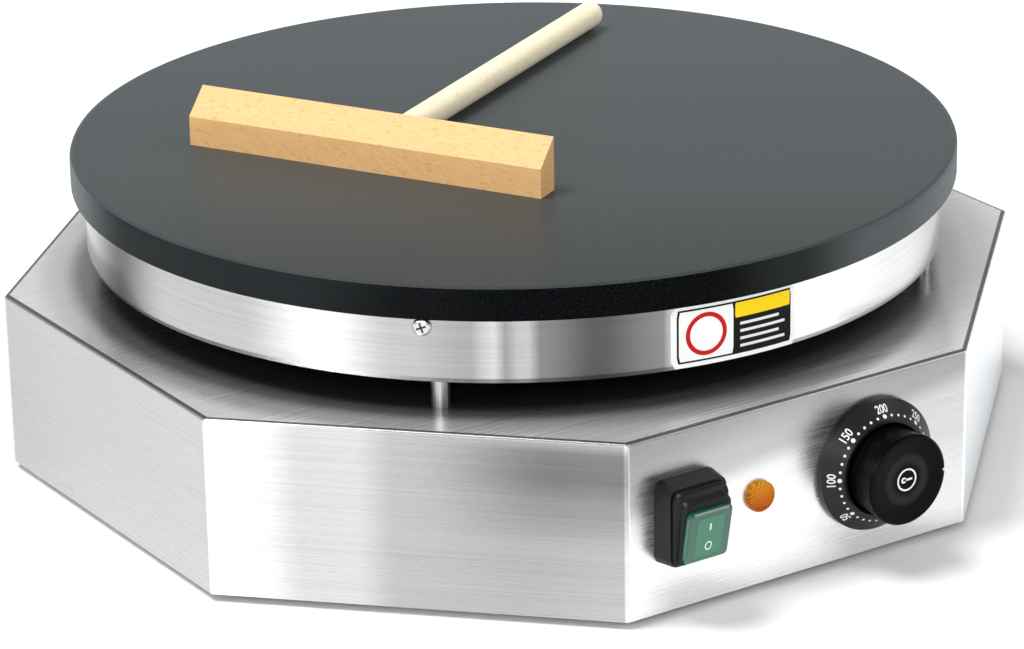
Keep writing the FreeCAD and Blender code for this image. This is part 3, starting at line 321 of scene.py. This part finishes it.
# Painted reflections round the skirt, paler and greyer by angle.
bands = painted_round_reflections(tree, place, [
    (-180, 0.6), (-90, 0.5), (-76, 0.40), (-63, 0.07), (-50, 0.52), (-37, 0.51), (-25, 0.93), (-15, 0.50),
    (-5, 0.36), (-3.6, 0.62), (-2.6, 0.62), (-1.6, 0.30), (-0.8, 0.34), (0.4, 0.52), (1.6, 0.50),
    (2.6, 0.22), (10, 0.09), (18, 0.22), (21, 0.88), (42, 1.0), (59, 0.80), (76, 0.4), (180, 0.6)])
streak = use_group(tree, BRUSHED, Vector=place, Scale=(6, 6, 900))["Streak"]
hairlines = mix(tree, (0.84, 0.84, 0.84, 1), (1, 1, 1, 1), streak, "MIX")
tree.links.new(mix(tree, hairlines, bands), shader.inputs["Base Color"])
dress("skirt_ring", skirt_steel)

# Skirt screws: four plated steel pan heads with a cross recess, round the skirt under the plate's rim.
# They go through the skirt into the plate's turned-down edge and hold it there.
HEAD_RADIUS, HEAD_HEIGHT = 4.1 * MM, 2.35 * MM
HEAD_POINTS = 40
BAR_LENGTH, BAR_WIDTH, BAR_TURNS = 4.4 * MM, 0.8 * MM, (20, 110)
BAR_CORNERS = np.array([(-1, -1), (1, -1), (1, 1), (-1, 1)])
HEAD_PROFILE = np.array([(1.0, 0.0), (1.0, 0.3), (0.93, 0.62), (0.78, 0.84), (0.5, 0.97), (0.15, 1.0)])
UPWARD = np.array((0.0, 0.0, 1.0))


def surface(name, points, faces, material, smooth_angle=35):
    """An object from an array of points in metres and its faces; edges sharper than the angle stay crisp."""
    mesh = bpy.data.meshes.new(name)
    mesh.from_pydata(np.reshape(points, (-1, 3)).tolist(), [], faces)
    mesh.validate()
    mesh.shade_smooth()
    mesh.set_sharp_from_angle(angle=math.radians(smooth_angle))
    made = bpy.data.objects.new(name, mesh)
    bpy.context.scene.collection.objects.link(made)
    mesh.materials.append(material)
    return made


def round_angles(count, turn=2 * math.pi):
    """Evenly spaced angles from 0 up to, but not at, the turn."""
    return np.linspace(0, turn, count, endpoint=False)


def quads(rows, columns, closed=True, over=False):
    """Faces of a grid of points: quad (j, k) joins (j, k), (j, k + 1), (j + 1, k + 1) and (j + 1, k).
    A closed grid joins its last column to its first, and over turns its faces to look the other way."""
    row, column = np.meshgrid(np.arange(rows - 1), np.arange(columns - (not closed)), indexing="ij")
    here, beside = row * columns + column, row * columns + (column + 1) % columns
    faces = np.stack([here, beside, beside + columns, here + columns], -1).reshape(-1, 4)
    return (faces[:, ::-1] if over else faces).tolist()


def capped(rows, columns):
    """Faces of a closed grid whose last row is filled by one polygon."""
    return quads(rows, columns) + [list(range((rows - 1) * columns, rows * columns))]


# The cross in each head is a thin near-black sheet: painted shade of the recess.
recess_painted_shade = finish("screw_recess_painted_shade", (0.02, 0.02, 0.02), 0.6, 0.3)[0]
dress("skirt_screws", screw_steel)
screw_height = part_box("skirt_screws")[0].z + HEAD_RADIUS
for number in range(4):
    out = math.radians(-135 + 90 * number)
    axis = np.array((math.cos(out), math.sin(out), 0.0))
    side = np.array((-math.sin(out), math.cos(out), 0.0))
    seat = axis * SKIRT + UPWARD * screw_height
    a = round_angles(HEAD_POINTS)[:, None]
    rim = (side * np.cos(a) + UPWARD * np.sin(a)) * HEAD_RADIUS
    share, rise = HEAD_PROFILE[:, 0, None, None], HEAD_PROFILE[:, 1, None, None] * HEAD_HEIGHT
    head = surface("skirt_screw_head_%d" % number, seat + axis * rise + rim * share,
                   capped(len(HEAD_PROFILE), HEAD_POINTS), screw_steel, 60)
    bars = []
    for lean in np.radians(BAR_TURNS):
        long_way = (side * math.cos(lean) + UPWARD * math.sin(lean)) * BAR_LENGTH / 2
        wide_way = (-side * math.sin(lean) + UPWARD * math.cos(lean)) * BAR_WIDTH / 2
        bars.append(seat + axis * (HEAD_HEIGHT * 1.02) + BAR_CORNERS @ (long_way, wide_way))
    cross = surface("skirt_screw_recess_%d" % number, bars, [(0, 1, 2, 3), (4, 5, 6, 7)], recess_painted_shade)
    for piece in (head, cross):
        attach(piece, "base")
    if number == 0:
        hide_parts("skirt_screws")

# Sticker: a plain coated paper label stuck on the front of the skirt.
# It is printed with coloured fields, a ring and bars.
STICKER_LEFT, STICKER_RIGHT = -104.2, -86.1
STICKER_LOW, STICKER_HIGH = skirt_low.z + 1.4 * MM, skirt_high.z - 1.6 * MM
STICKER_TALL = STICKER_HIGH - STICKER_LOW
PAPER_LIFT, GROUND_LIFT, FIELD_LIFT, RING_LIFT = 0.10 * MM, 0.14 * MM, 0.18 * MM, 0.22 * MM
PAPER, BAR_GREY = (0.86, 0.87, 0.86), (0.75, 0.75, 0.75)


def on_skirt(angle, height, lift):
    """The points at angles in degrees round the skirt: ((R + lift) cos a, (R + lift) sin a, height)."""
    a = np.radians(angle)
    return np.stack(np.broadcast_arrays((SKIRT + lift) * np.cos(a), (SKIRT + lift) * np.sin(a), height), -1)


def stick(name, points, faces, colour):
    """A printed part of the sticker, with its own coat."""
    piece = surface(name, points, faces, finish(name, colour, 0.45, Specular_IOR_Level=0.12)[0])
    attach(piece, "base")


def sticker_field(name, left, right, low, high, lift, colour, corner=0.0):
    """A field of the sticker, from shares of its width and height, bent round the skirt. In round corners
    the ends of a row move in by corner - sqrt(corner^2 - (corner - distance to the edge)^2)."""
    wide = math.radians(STICKER_RIGHT - STICKER_LEFT) * SKIRT
    up = np.linspace(low, high, 9)
    to_edge = np.minimum(up - low, high - up) * STICKER_TALL
    moved_in = corner - np.sqrt(np.maximum(corner ** 2 - np.maximum(corner - to_edge, 0) ** 2, 0))
    across = np.linspace(left + moved_in / wide, right - moved_in / wide, 17, axis=-1)
    angles = STICKER_LEFT + (STICKER_RIGHT - STICKER_LEFT) * across
    points = on_skirt(angles, (STICKER_LOW + up * STICKER_TALL)[:, None], lift)
    stick(name, points, quads(9, 17, closed=False), colour)


def sticker_ring(name, middle, height, radius, line, lift, colour):
    """A flat ring on the sticker, by its middle's angle and height:
    angle = middle + r cos a / R, height = middle height + r sin a."""
    a = round_angles(48, -2 * math.pi)
    reach = np.array([(radius - line,), (radius,)])
    points = on_skirt(middle + np.degrees(reach * np.cos(a) / SKIRT), height + reach * np.sin(a), lift)
    stick(name, points, quads(2, 48, over=True), colour)


sticker_field("sticker_white", 0.0, 1.0, 0.0, 1.0, PAPER_LIFT, PAPER, 2.0 * MM)
sticker_field("sticker_dark", 0.045, 0.955, 0.07, 0.93, GROUND_LIFT, (0.004, 0.004, 0.006), 0.6 * MM)
sticker_field("sticker_pale", 0.060, 0.475, 0.10, 0.90, FIELD_LIFT, PAPER, 0.5 * MM)
sticker_field("sticker_yellow", 0.49, 0.945, 0.66, 0.90, FIELD_LIFT, (0.88, 0.62, 0.005), 0.3 * MM)
sticker_ring("sticker_ring", STICKER_LEFT + 0.267 * (STICKER_RIGHT - STICKER_LEFT),
             (STICKER_LOW + STICKER_HIGH) / 2, 9.6 * MM, 2.0 * MM, RING_LIFT, (0.52, 0.008, 0.006))
for row in range(4):
    low, high = 0.17 + 0.12 * row, 0.215 + 0.12 * row
    sticker_field("sticker_line_%d" % row, 0.53, 0.90 - 0.05 * (row % 2), low, high, FIELD_LIFT, BAR_GREY)

# Pan floor and blanket: a dark pressed steel disc lies on the skirt's turned-in edge.
# A ring of pale ceramic fibre lies on it and keeps the heat under the plate.
dress("pan_floor", finish("pan_steel", (0.10, 0.10, 0.105), 0.35, 1.0)[0])
dress("fibre_blanket", finish("fibre_blanket", (0.80, 0.79, 0.75), 0.95)[0])

# Heaters: two rings bent from sheathed steel tube, dark from heat, close under the plate.
# Three plated straps hold them up, each with a screw into the plate.
sheath = finish("heater_sheath", (0.16, 0.15, 0.14), 0.5, 0.9)[0]
dress("heater_outer", sheath)
dress("heater_inner", sheath)
dress("heater_straps", plated_steel)
dress("strap_screws", screw_steel)

# Griddle plate: turned cast iron disc that rests on the posts.
# Its top is smooth, seasoned and slate grey, with a painted sheen growing towards the back; its rim is
# nearly black and finely speckled, with painted reflections round it.
PLATE_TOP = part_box("griddle_plate")[1].z
SLATE = (0.078, 0.096, 0.101)

# The speckle of the iron: grains where noise(p * Scale) rises over a share, and their height.
SPECKLE, group_in, group_out = shader_group(
    "Fine speckle", [("Vector", "Vector", None), ("Scale", "Float", 1500.0), ("Share", "Float", 0.6)],
    [("Mask", "Float", None), ("Height", "Float", None)])
grains = add(SPECKLE, "TexNoise", Vector=group_in["Vector"], Scale=group_in["Scale"], Detail=3.0,
             Roughness=0.7)
SPECKLE.links.new(remap(SPECKLE, grains.outputs[0], group_in["Share"], 0.8), group_out["Mask"])
SPECKLE.links.new(grains.outputs[0], group_out["Height"])


def speckled_iron(tree, shader, place, tone, fleck, scale, share, strength, bump, distance):
    """Lay flecks of a colour over a tone, with a bump of the same grains."""
    spots = use_group(tree, SPECKLE, Vector=place, Scale=scale, Share=share)
    amount = figure(tree, "MULTIPLY", spots["Mask"], strength)
    tree.links.new(mix(tree, tone, fleck, amount, "MIX"), shader.inputs["Base Color"])
    roughen(tree, shader, spots["Height"], bump, distance)


iron_top, tree, shader = finish("iron_top", SLATE, 0.4, Specular_IOR_Level=0.24)
place = object_place(tree)
# Painted sheen: the top is painted lighter towards the back.
painted_sheen_reach = along(tree, place, (0.55, 0.83, 0), -0.2, 0.2)
tone = mix(tree, (*SLATE, 1), ramp(tree, painted_sheen_reach, [(0.0, 0.34), (0.40, 0.60), (1.0, 0.78)]))
speckled_iron(tree, shader, place, tone, (0.16, 0.18, 0.185, 1), 900.0, 0.5, 0.25, 0.05, 0.0005)
iron_rim, tree, shader = finish("iron_rim", (0.006, 0.010, 0.013), 0.5, Specular_IOR_Level=0.03)
place = object_place(tree)
# Painted reflections round the rim: near black at the front, lighter to the left and right.
painted_sheen = painted_round_reflections(tree, place, [
    (-180, 0.02), (-90, 0.1), (-78, 0.16), (-56, 0.02), (-28, 0.018), (-12, 0.004), (0, 0.001), (24, 0.001),
    (36, 0.02), (50, 0.10), (76, 0.17), (100, 0.05), (180, 0.02)])
tone = mix(tree, painted_sheen, (0.86, 0.97, 1.0, 1))
speckled_iron(tree, shader, place, tone, (0.026, 0.042, 0.062, 1), 1400.0, 0.52, 0.5, 0.5, 0.0004)
plate = dress("griddle_plate", iron_rim, iron_top)
pick_faces(plate, 1, lambda normal, centre: normal.z > 0.9 and centre.z > PLATE_TOP - 0.5 * MM)

# Thermostat: a black moulded body behind the panel, a plated shaft for the knob, and a copper bulb and tube
# clipped under the plate.
black_plastic = finish("black_plastic", (0.005, 0.006, 0.007), 0.36, Specular_IOR_Level=0.3)[0]
copper = finish("copper", (0.66, 0.33, 0.18), 0.35, 1.0)[0]
dress("thermostat_body", black_plastic)
dress("thermostat_shaft", plated_steel)
dress("thermostat_bulb", copper)
dress("capillary_tube", copper)
dress("bulb_clips", plated_steel)
dress("dial_screws", screw_steel)

# Wiring: sleeved copper leads from an off-white terminal block to the switch, an earth stud and the heaters.
# A plated tube, held by a nut, takes them up into the pan; a black cable gland sits in the rear wall.
brass = finish("brass", (0.66, 0.50, 0.22), 0.3, 1.0)[0]
brown_sleeve = finish("brown_wire", (0.16, 0.07, 0.03), 0.5)[0]
earth_sleeve, tree, shader = finish("earth_wire", (0.2, 0.4, 0.04), 0.5)
wave = add(tree, "TexWave", {"bands_direction": "DIAGONAL"}, Vector=object_place(tree), Scale=90.0)
stripes = mix(tree, (0.05, 0.3, 0.04, 1), (0.75, 0.62, 0.03, 1), wave.outputs["Fac"], "MIX")
tree.links.new(stripes, shader.inputs["Base Color"])
dress("wiring_conduit", plated_steel)
dress("conduit_nut", plated_steel)
dress("terminal_block", finish("block_plastic", (0.70, 0.69, 0.64), 0.5)[0])
for node in ("terminal_screws", "earth_stud", "switch_terminals"):
    dress(node, brass)
for node in ("gland_body", "gland_cap", "gland_nut"):
    dress(node, black_plastic)
for node in ("lead_supply", "lead_switched", "lead_outer_heater"):
    dress(node, brown_sleeve)
dress("lead_inner_heater", finish("blue_wire", (0.03, 0.08, 0.35), 0.5)[0])
dress("lead_earth", earth_sleeve)

# Dial ring: black plastic moulding screwed to the panel, with a satin cone round the knob.
# Its dots and numbers are printed on the cone, made here as thin white skins.
dial_low, dial_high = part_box("dial_ring")
DIAL_X, DIAL_Z = (dial_low.x + dial_high.x) / 2, (dial_low.z + dial_high.z) / 2
DIAL_RADIUS, DIAL_DEPTH = (dial_high.x - dial_low.x) / 2, dial_high.y - dial_low.y
DIAL_SIDE, DIAL_INNER = 3.0 * MM, 22.2 * MM
INK = 0.06 * MM
CONE_SLOPE = 0.76
DOT_COUNT, DOT_POINTS, DOT_STEP = 31, 14, 9
DOT_CIRCLE, BIG_DOT, SMALL_DOT = 23.75 * MM, 1.0 * MM, 0.62 * MM
NUMBER_CIRCLE, NUMBER_TALL, NUMBER_STEP = 26.5 * MM, 3.9 * MM, 45
NUMBER_WIDE = {2: 3.9 * MM, 3: 5.9 * MM}
print_white = finish("print_white", (0.80, 0.80, 0.80), 0.5)[0]


def on_panel(across, up, out):
    """Points by their places along the panel, up, and out of the panel: (across, -HALF - out, up)."""
    return np.stack(np.broadcast_arrays(across, -HALF - out, up), -1)


def on_cone(radius, clockwise):
    """The cone's points at a radius and an angle clockwise from the top, lifted off it by the ink:
    out = side + (R - radius) / (R - inner) * (depth - side) + ink."""
    a = np.radians(clockwise)
    fall = (DIAL_RADIUS - radius) / (DIAL_RADIUS - DIAL_INNER)
    out = DIAL_SIDE + fall * (DIAL_DEPTH - DIAL_SIDE) + INK
    return on_panel(DIAL_X + radius * np.sin(a), DIAL_Z + radius * np.cos(a), out)


def flat_text(words, height, width):
    """The points and faces of a text about its middle, its letters and its line of the given sizes."""
    curve = bpy.data.curves.new("letters", "FONT")
    curve.body = words
    curve.offset = 0.018
    made = bpy.data.objects.new("letters", curve)
    bpy.context.scene.collection.objects.link(made)
    bpy.context.view_layer.update()
    mesh = bpy.data.meshes.new_from_object(made)
    points = np.array([v.co[:2] for v in mesh.vertices])
    faces = [tuple(face.vertices) for face in mesh.polygons]
    bpy.data.objects.remove(made)
    points -= (points.max(0) + points.min(0)) / 2
    return points * (width, height) / (points.max(0) - points.min(0)), faces


dress("dial_ring", black_plastic)
step = np.arange(DOT_COUNT)[:, None]
radius = np.where((step % 5 == 0) & (step > 0), BIG_DOT, SMALL_DOT)
a = round_angles(DOT_POINTS)
reach = DOT_CIRCLE + radius * np.sin(a) * CONE_SLOPE
points = on_cone(reach, 180 + DOT_STEP * step + np.degrees(radius * np.cos(a) / reach))
faces = np.arange(DOT_COUNT * DOT_POINTS).reshape(DOT_COUNT, DOT_POINTS)[:, ::-1].tolist()
prints = [surface("dial_dots", points, faces, print_white)]
for number, words in enumerate(("50", "100", "150", "200", "250", "300")):
    letters, faces = flat_text(words, NUMBER_TALL, NUMBER_WIDE[len(words)])
    points = on_cone(NUMBER_CIRCLE + letters[:, 1] * CONE_SLOPE,
                     225 + NUMBER_STEP * number + np.degrees(letters[:, 0] / NUMBER_CIRCLE))
    prints.append(surface("dial_number_" + words, points, faces, print_white))
for piece in prints:
    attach(piece, "base")

# Knob: black satin moulding pushed on the thermostat's shaft; a soft ring of painted highlight lies on its
# dished face, which holds a thin printed ring and a plain gauge mark, and a pointer is printed over its rim.
KNOB_FRONT = -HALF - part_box("knob")[0].y
KNOB_FACE = KNOB_FRONT - 0.9 * MM + INK
RING_INNER, RING_OUTER = 4.3 * MM, 5.1 * MM
STEM_LONG, STEM_WIDE, STEM_CORNER, STEM_SHIFT = 5.0 * MM, 1.0 * MM, 0.45 * MM, 0.5 * MM
BULB_RADIUS, BULB_SHIFT = 1.35 * MM, -1.6 * MM
POINTER_REACH, POINTER_HALF = 18.9 * MM, 0.75 * MM
POINTER_FRONT, POINTER_BACK = 0.1 * MM, 2.2 * MM


def rounded_outline(width, height, corner, steps=6):
    """Points of a rectangle with round corners, anticlockwise: each centre + corner * (cos a, sin a)."""
    ways = np.array([(1, -1), (1, 1), (-1, 1), (-1, -1)])
    a = np.radians(np.linspace((-90, 0, 90, 180), (0, 90, 180, 270), steps, axis=-1))
    centres = ways * (width / 2 - corner, height / 2 - corner)
    return (centres[:, None] + corner * np.stack([np.cos(a), np.sin(a)], -1)).reshape(-1, 2)


def on_knob(outline):
    """Points of a flat outline on the knob's face: (knob x + x, face, knob z + y)."""
    return on_panel(DIAL_X + outline[..., 0], DIAL_Z + outline[..., 1], KNOB_FACE)


knob_plastic, tree, shader = finish("knob_plastic", (0.001, 0.001, 0.0015), 0.27, Specular_IOR_Level=0.06)
from_axis = add(tree, "VectorMath", {"operation": "MULTIPLY_ADD"}, i0=object_place(tree), i1=(1, 0, 1),
                i2=(-DIAL_X, 0, -DIAL_Z)).outputs[0]
reach = add(tree, "VectorMath", {"operation": "LENGTH"}, i0=from_axis).outputs["Value"]
# Painted highlight: a soft pale ring on the dished face, round the knob's axis.
painted_dish_highlight = ramp(tree, remap(tree, reach, 0.0, 20 * MM),
            [(0.0, 0.0), (0.30, 0.002), (0.42, 0.016), (0.50, 0.018), (0.62, 0.002), (1.0, 0.001)])
tree.links.new(painted_dish_highlight, shader.inputs["Base Color"])
dress("knob", knob_plastic)
a = round_angles(56)
ring = np.array([RING_INNER, RING_OUTER])[:, None, None] * np.stack([np.cos(a), np.sin(a)], -1)
marks = [surface("knob_ring", on_knob(ring), quads(2, 56, over=True), print_white)]
a = round_angles(24)
stem = rounded_outline(STEM_LONG, STEM_WIDE, STEM_CORNER) + (STEM_SHIFT, 0)
bulb = BULB_RADIUS * np.stack([np.cos(a), np.sin(a)], -1) + (BULB_SHIFT, 0)
for name, outline in (("knob_mark_stem", stem), ("knob_mark_bulb", bulb)):
    marks.append(surface(name, on_knob(outline), [list(range(len(outline)))], print_white))
pointer = on_panel(DIAL_X + POINTER_REACH, DIAL_Z + np.array([-POINTER_HALF, POINTER_HALF]),
                   KNOB_FRONT - np.array([(POINTER_FRONT,), (POINTER_BACK,)]))
marks.append(surface("knob_pointer", pointer, [(0, 1, 3, 2)], print_white))
for mark in marks:
    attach(mark, "knob")

# Rocker switch: black rubber frame with two soft bellows folds round a green translucent rocker, on a black
# body behind the panel. The folds run from the frame out to the rocker, each fold line turned by a share of
# its tilt.
boot_low, boot_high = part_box("switch_boot")
BOOT_X, BOOT_Z = (boot_low.x + boot_high.x) / 2, (boot_low.z + boot_high.z) / 2
PIVOT_OUT = 1.6 * MM
TILT = math.radians(11)
PANE_OUT = 18.05 * MM
LEGEND_OUT = 18.10 * MM
# A fold line of the bellows: width, height and distance out in mm, share of the tilt, corner radius in mm.
FOLDS = [(26.4, 32.6, 9.4, 0.0, 4.0), (27.0, 33.2, 10.4, 0.05, 4.0), (27.0, 33.0, 11.6, 0.25, 4.0),
         (26.4, 32.2, 12.3, 0.3, 4.0), (24.2, 29.6, 12.5, 0.4, 3.6), (23.8, 28.9, 12.8, 0.5, 3.4),
         (24.2, 29.3, 13.3, 0.6, 3.4), (24.0, 29.0, 14.6, 0.85, 3.4), (23.4, 28.0, 15.1, 0.95, 3.2),
         (21.4, 23.8, 15.2, 1.0, 2.6), (21.0, 23.4, 13.0, 1.0, 2.4)]


def tilted(outline, out, share=1.0):
    """An outline's points turned with the rocker by a share of its tilt, about the pivot's line along X:
    up = y cos a - (out - pivot) sin a, out = pivot + y sin a + (out - pivot) cos a."""
    a = TILT * share
    y = outline[..., 1]
    up = y * math.cos(a) - (out - PIVOT_OUT) * math.sin(a)
    reach = y * math.sin(a) + (out - PIVOT_OUT) * math.cos(a)
    return on_panel(BOOT_X + outline[..., 0], BOOT_Z + up, PIVOT_OUT + reach)


dress("switch_body", black_plastic)
dress("switch_boot", rubber)
points = np.array([tilted(rounded_outline(width * MM, height * MM, corner * MM), out * MM, share)
                   for width, height, out, share, corner in FOLDS])
bellows = surface("switch_bellows", points, quads(*points.shape[:2], over=True), rubber, 50)
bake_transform(bellows)

green, tree, shader = finish("green_rocker", (0.008, 0.11, 0.06), 0.12, Coat_Weight=0.5, Coat_Roughness=0.05,
                             Transmission_Weight=0.15, Specular_IOR_Level=0.6)
# Painted shade: the rocker's green is darker towards the top.
rise = along(tree, object_place(tree), (0, 0, 1), BOOT_Z - 13 * MM, BOOT_Z + 13 * MM)
tone = mix(tree, (0.007, 0.12, 0.062, 1), (0.008, 0.075, 0.045, 1), rise, "MIX")
tree.links.new(tone, shader.inputs["Base Color"])
dress("switch_rocker", green)
window = finish("rocker_window", (0.009, 0.155, 0.085), 0.15, Coat_Weight=0.5)[0]
legend = finish("rocker_legend", (0.70, 0.80, 0.76), 0.5)[0]
pane = rounded_outline(13.6 * MM, 18.6 * MM, 0.8 * MM)
stroke = rounded_outline(0.8 * MM, 3.4 * MM, 0.2 * MM) + (0, 4.4 * MM)
a = round_angles(32)
ring = np.array([1.55 * MM, 2.2 * MM])[:, None, None] * np.stack([0.8 * np.cos(a), np.sin(a)], -1)
oval = ring - (0, 4.8 * MM)
for name, outline, out, faces, material in (
        ("rocker_pane", pane, PANE_OUT, [list(range(len(pane)))], window),
        ("rocker_stroke", stroke, LEGEND_OUT, [list(range(len(stroke)))], legend),
        ("rocker_circle", oval, LEGEND_OUT, quads(2, 32, over=True), legend)):
    piece = surface(name, tilted(outline, out), faces, material)
    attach(piece, "rocker")

# Pilot lamp: amber translucent lens with a bevelled edge and a fine grid moulded in its face, held by a nut
# behind the panel. A painted glare makes its amber lighter and yellower towards the top.
lens_low, lens_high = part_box("lamp_lens")
LENS_X, LENS_Z = (lens_low.x + lens_high.x) / 2, (lens_low.z + lens_high.z) / 2
GRID_PITCH, LENS_POINTS = 1.5 * MM, 64
LENS_PROFILE = np.array([(6.9, 0.0), (6.9, 1.7), (6.7, 2.3), (6.2, 2.75), (5.7, 2.9), (5.4, 2.7), (5.2, 2.4),
                         (0.5, 2.5)]) * MM
amber, tree, shader = finish("amber_lens", (0.80, 0.28, 0.02), 0.16, Specular_IOR_Level=0.14)
place = object_place(tree)
parts = add(tree, "SeparateXYZ", Vector=place).outputs
waves = [figure(tree, "SINE", figure(tree, "MULTIPLY", part, 2 * math.pi / GRID_PITCH))
         for part in (parts[0], parts[2])]
blocks = remap(tree, figure(tree, "MULTIPLY", *waves), -0.6, 0.6)
# Painted glare: the amber lighter and yellower towards the top.
top = along(tree, place, (0, 0, 1), LENS_Z - 5 * MM, LENS_Z + 6 * MM)
painted_glare = mix(tree, (0.68, 0.12, 0.001, 1), (0.98, 0.38, 0.01, 1), top, "MIX")
tree.links.new(mix(tree, painted_glare, blocks, 0.62), shader.inputs["Base Color"])
roughen(tree, shader, blocks, 0.6, 0.0004)
dress("lamp_lens", amber)
dress("lamp_body", black_plastic)
dress("lamp_nut", black_plastic)
a = round_angles(LENS_POINTS)
radius = LENS_PROFILE[:, :1]
points = on_panel(LENS_X + radius * np.cos(a), LENS_Z + radius * np.sin(a), LENS_PROFILE[:, 1:])
lens = surface("lens_skin", points, capped(*points.shape[:2]), amber, 30)
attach(lens, "base")
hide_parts("lamp_lens")

# Spreader: bare sanded beech, a warm tan blade with short dark flecks and a paler turned handle.
# The handle is glued into the blade, and the whole lies loose on the plate.
YAW = math.radians(-60.7)
PORE_LEAN = -0.45
WORN_EDGE = 0.5 * MM


def beech(name, way, light, dark, fleck):
    """Beech with its grain along a direction: cloudy bands and short dark flecks squeezed along it,
    and fine pores that lean down across it."""
    made, tree, shader = finish(name, light, 0.55, Specular_IOR_Level=0.3)

    def turn(place, axis, angle):
        """A point turned about an axis."""
        return add(tree, "VectorRotate", {"rotation_type": axis}, Vector=place, Angle=angle).outputs[0]

    def noise(place, scale, **more):
        """Noise squeezed by the scale: noise(p * scale)."""
        return add(tree, "TexNoise", Vector=scaled(tree, place, scale), Scale=1.0, **more).outputs[0]

    turned = turn(object_place(tree), "Z_AXIS", -way)
    sloped = turn(turned, "Y_AXIS", PORE_LEAN)
    bands = noise(turned, (6, 140, 140), Detail=4.0, Distortion=0.4)
    marks = remap(tree, noise(turned, (230, 1000, 1000), Detail=1.0), 0.62, 0.72, 0.0, 0.55)
    pores = remap(tree, noise(sloped, (190, 1300, 1300), Detail=2.0), 0.45, 0.68, 0.0, 0.30)
    colour = mix(tree, (*dark, 1), (*light, 1), bands, "MIX")
    for share in (marks, pores):
        colour = mix(tree, colour, (*fleck, 1), share, "MIX")
    tree.links.new(colour, shader.inputs["Base Color"])
    roughen(tree, shader, bands, 0.15, 0.0003)
    return made


dress("spreader_blade", beech("beech", YAW, (0.90, 0.55, 0.245), (0.82, 0.485, 0.205), (0.56, 0.29, 0.11)))
dress("spreader_handle", beech("pale_beech", YAW + math.pi / 2, (1.0, 0.92, 0.69), (0.97, 0.84, 0.60),
                               (0.80, 0.66, 0.46)))
for name in ("spreader_blade", "spreader_handle"):
    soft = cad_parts[name].modifiers.new("worn edges", "BEVEL")
    soft.width = WORN_EDGE
    soft.segments = 2
    soft.limit_method = "ANGLE"

# Stage: a pale floor, a wide soft sun over it from behind the left, and smaller lamps in front and beside.
# The world round it is pale grey, a little darker overhead.
FLOOR_REACH, FLOOR_DROP = 6, 0.0002
floor_material = finish("floor", (0.93, 0.93, 0.93), 0.7)[0]
floor_corners = [(-FLOOR_REACH, -FLOOR_REACH, -FLOOR_DROP), (FLOOR_REACH, -FLOOR_REACH, -FLOOR_DROP),
                 (FLOOR_REACH, FLOOR_REACH, -FLOOR_DROP), (-FLOOR_REACH, FLOOR_REACH, -FLOOR_DROP)]
surface("floor", floor_corners, [(0, 1, 2, 3)], floor_material)
for name, kind, place, size, power in (
        ("sun_over", "SUN", (-0.7, 0.4, 2.0), 0.42, 2.45),
        ("lamp_left", "AREA", (-2.2, -0.6, 1.0), 1.2, 9),
        ("lamp_right", "AREA", (1.6, -1.6, 1.1), 0.9, 9),
        ("lamp_front", "AREA", (-1.5, -1.9, 0.9), 1.0, 14)):
    light = bpy.data.lights.new(name, kind)
    light.energy = power
    if kind == "SUN":
        light.angle = size
    else:
        light.size = size
    lamp = bpy.data.objects.new(name, light)
    bpy.context.scene.collection.objects.link(lamp)
    lamp.location = place
    lamp.rotation_euler = Vector(place).to_track_quat("Z", "Y").to_euler()

world = bpy.data.worlds.new("studio")
bpy.context.scene.world = world
world.use_nodes = True
sky = world.node_tree
height = add(sky, "SeparateXYZ", Vector=add(sky, "TexCoord").outputs["Generated"]).outputs[2]
shade = ramp(sky, remap(sky, height, -1.0, 1.0),
             [(0.0, 0.9), (0.5, 1.0), (0.62, 0.95), (0.8, 0.7), (1.0, 0.9)])
sky.links.new(shade, sky.nodes["Background"].inputs["Color"])
sky.nodes["Background"].inputs["Strength"].default_value = 0.6

# Camera: at the photograph's place, front left and a little above, with a long lens.
# It was fitted to the edges of the plate and the base.
EYE = (-1.03648, -1.57145, 0.7809)
camera_data = bpy.data.cameras.new("camera")
camera_data.lens = 154.45
camera_data.sensor_width = 36
camera_data.clip_end = 30
camera = bpy.data.objects.new("camera", camera_data)
bpy.context.scene.collection.objects.link(camera)
azimuth, elevation, roll = math.radians(-33.345), math.radians(21.283), math.radians(-1.05)
level = math.cos(elevation)
look = Vector((-math.sin(azimuth) * level, math.cos(azimuth) * level, -math.sin(elevation)))
right = look.cross(Vector((0, 0, 1))).normalized()
up = right.cross(look)
leaned = math.cos(roll) * right + math.sin(roll) * up
above = -math.sin(roll) * right + math.cos(roll) * up
turned = Matrix((leaned, above, -look)).transposed().to_4x4()
camera.matrix_world = Matrix.Translation(Vector(EYE)) @ turned
bpy.context.scene.camera = camera
bpy.context.scene.view_settings.view_transform = "Standard"
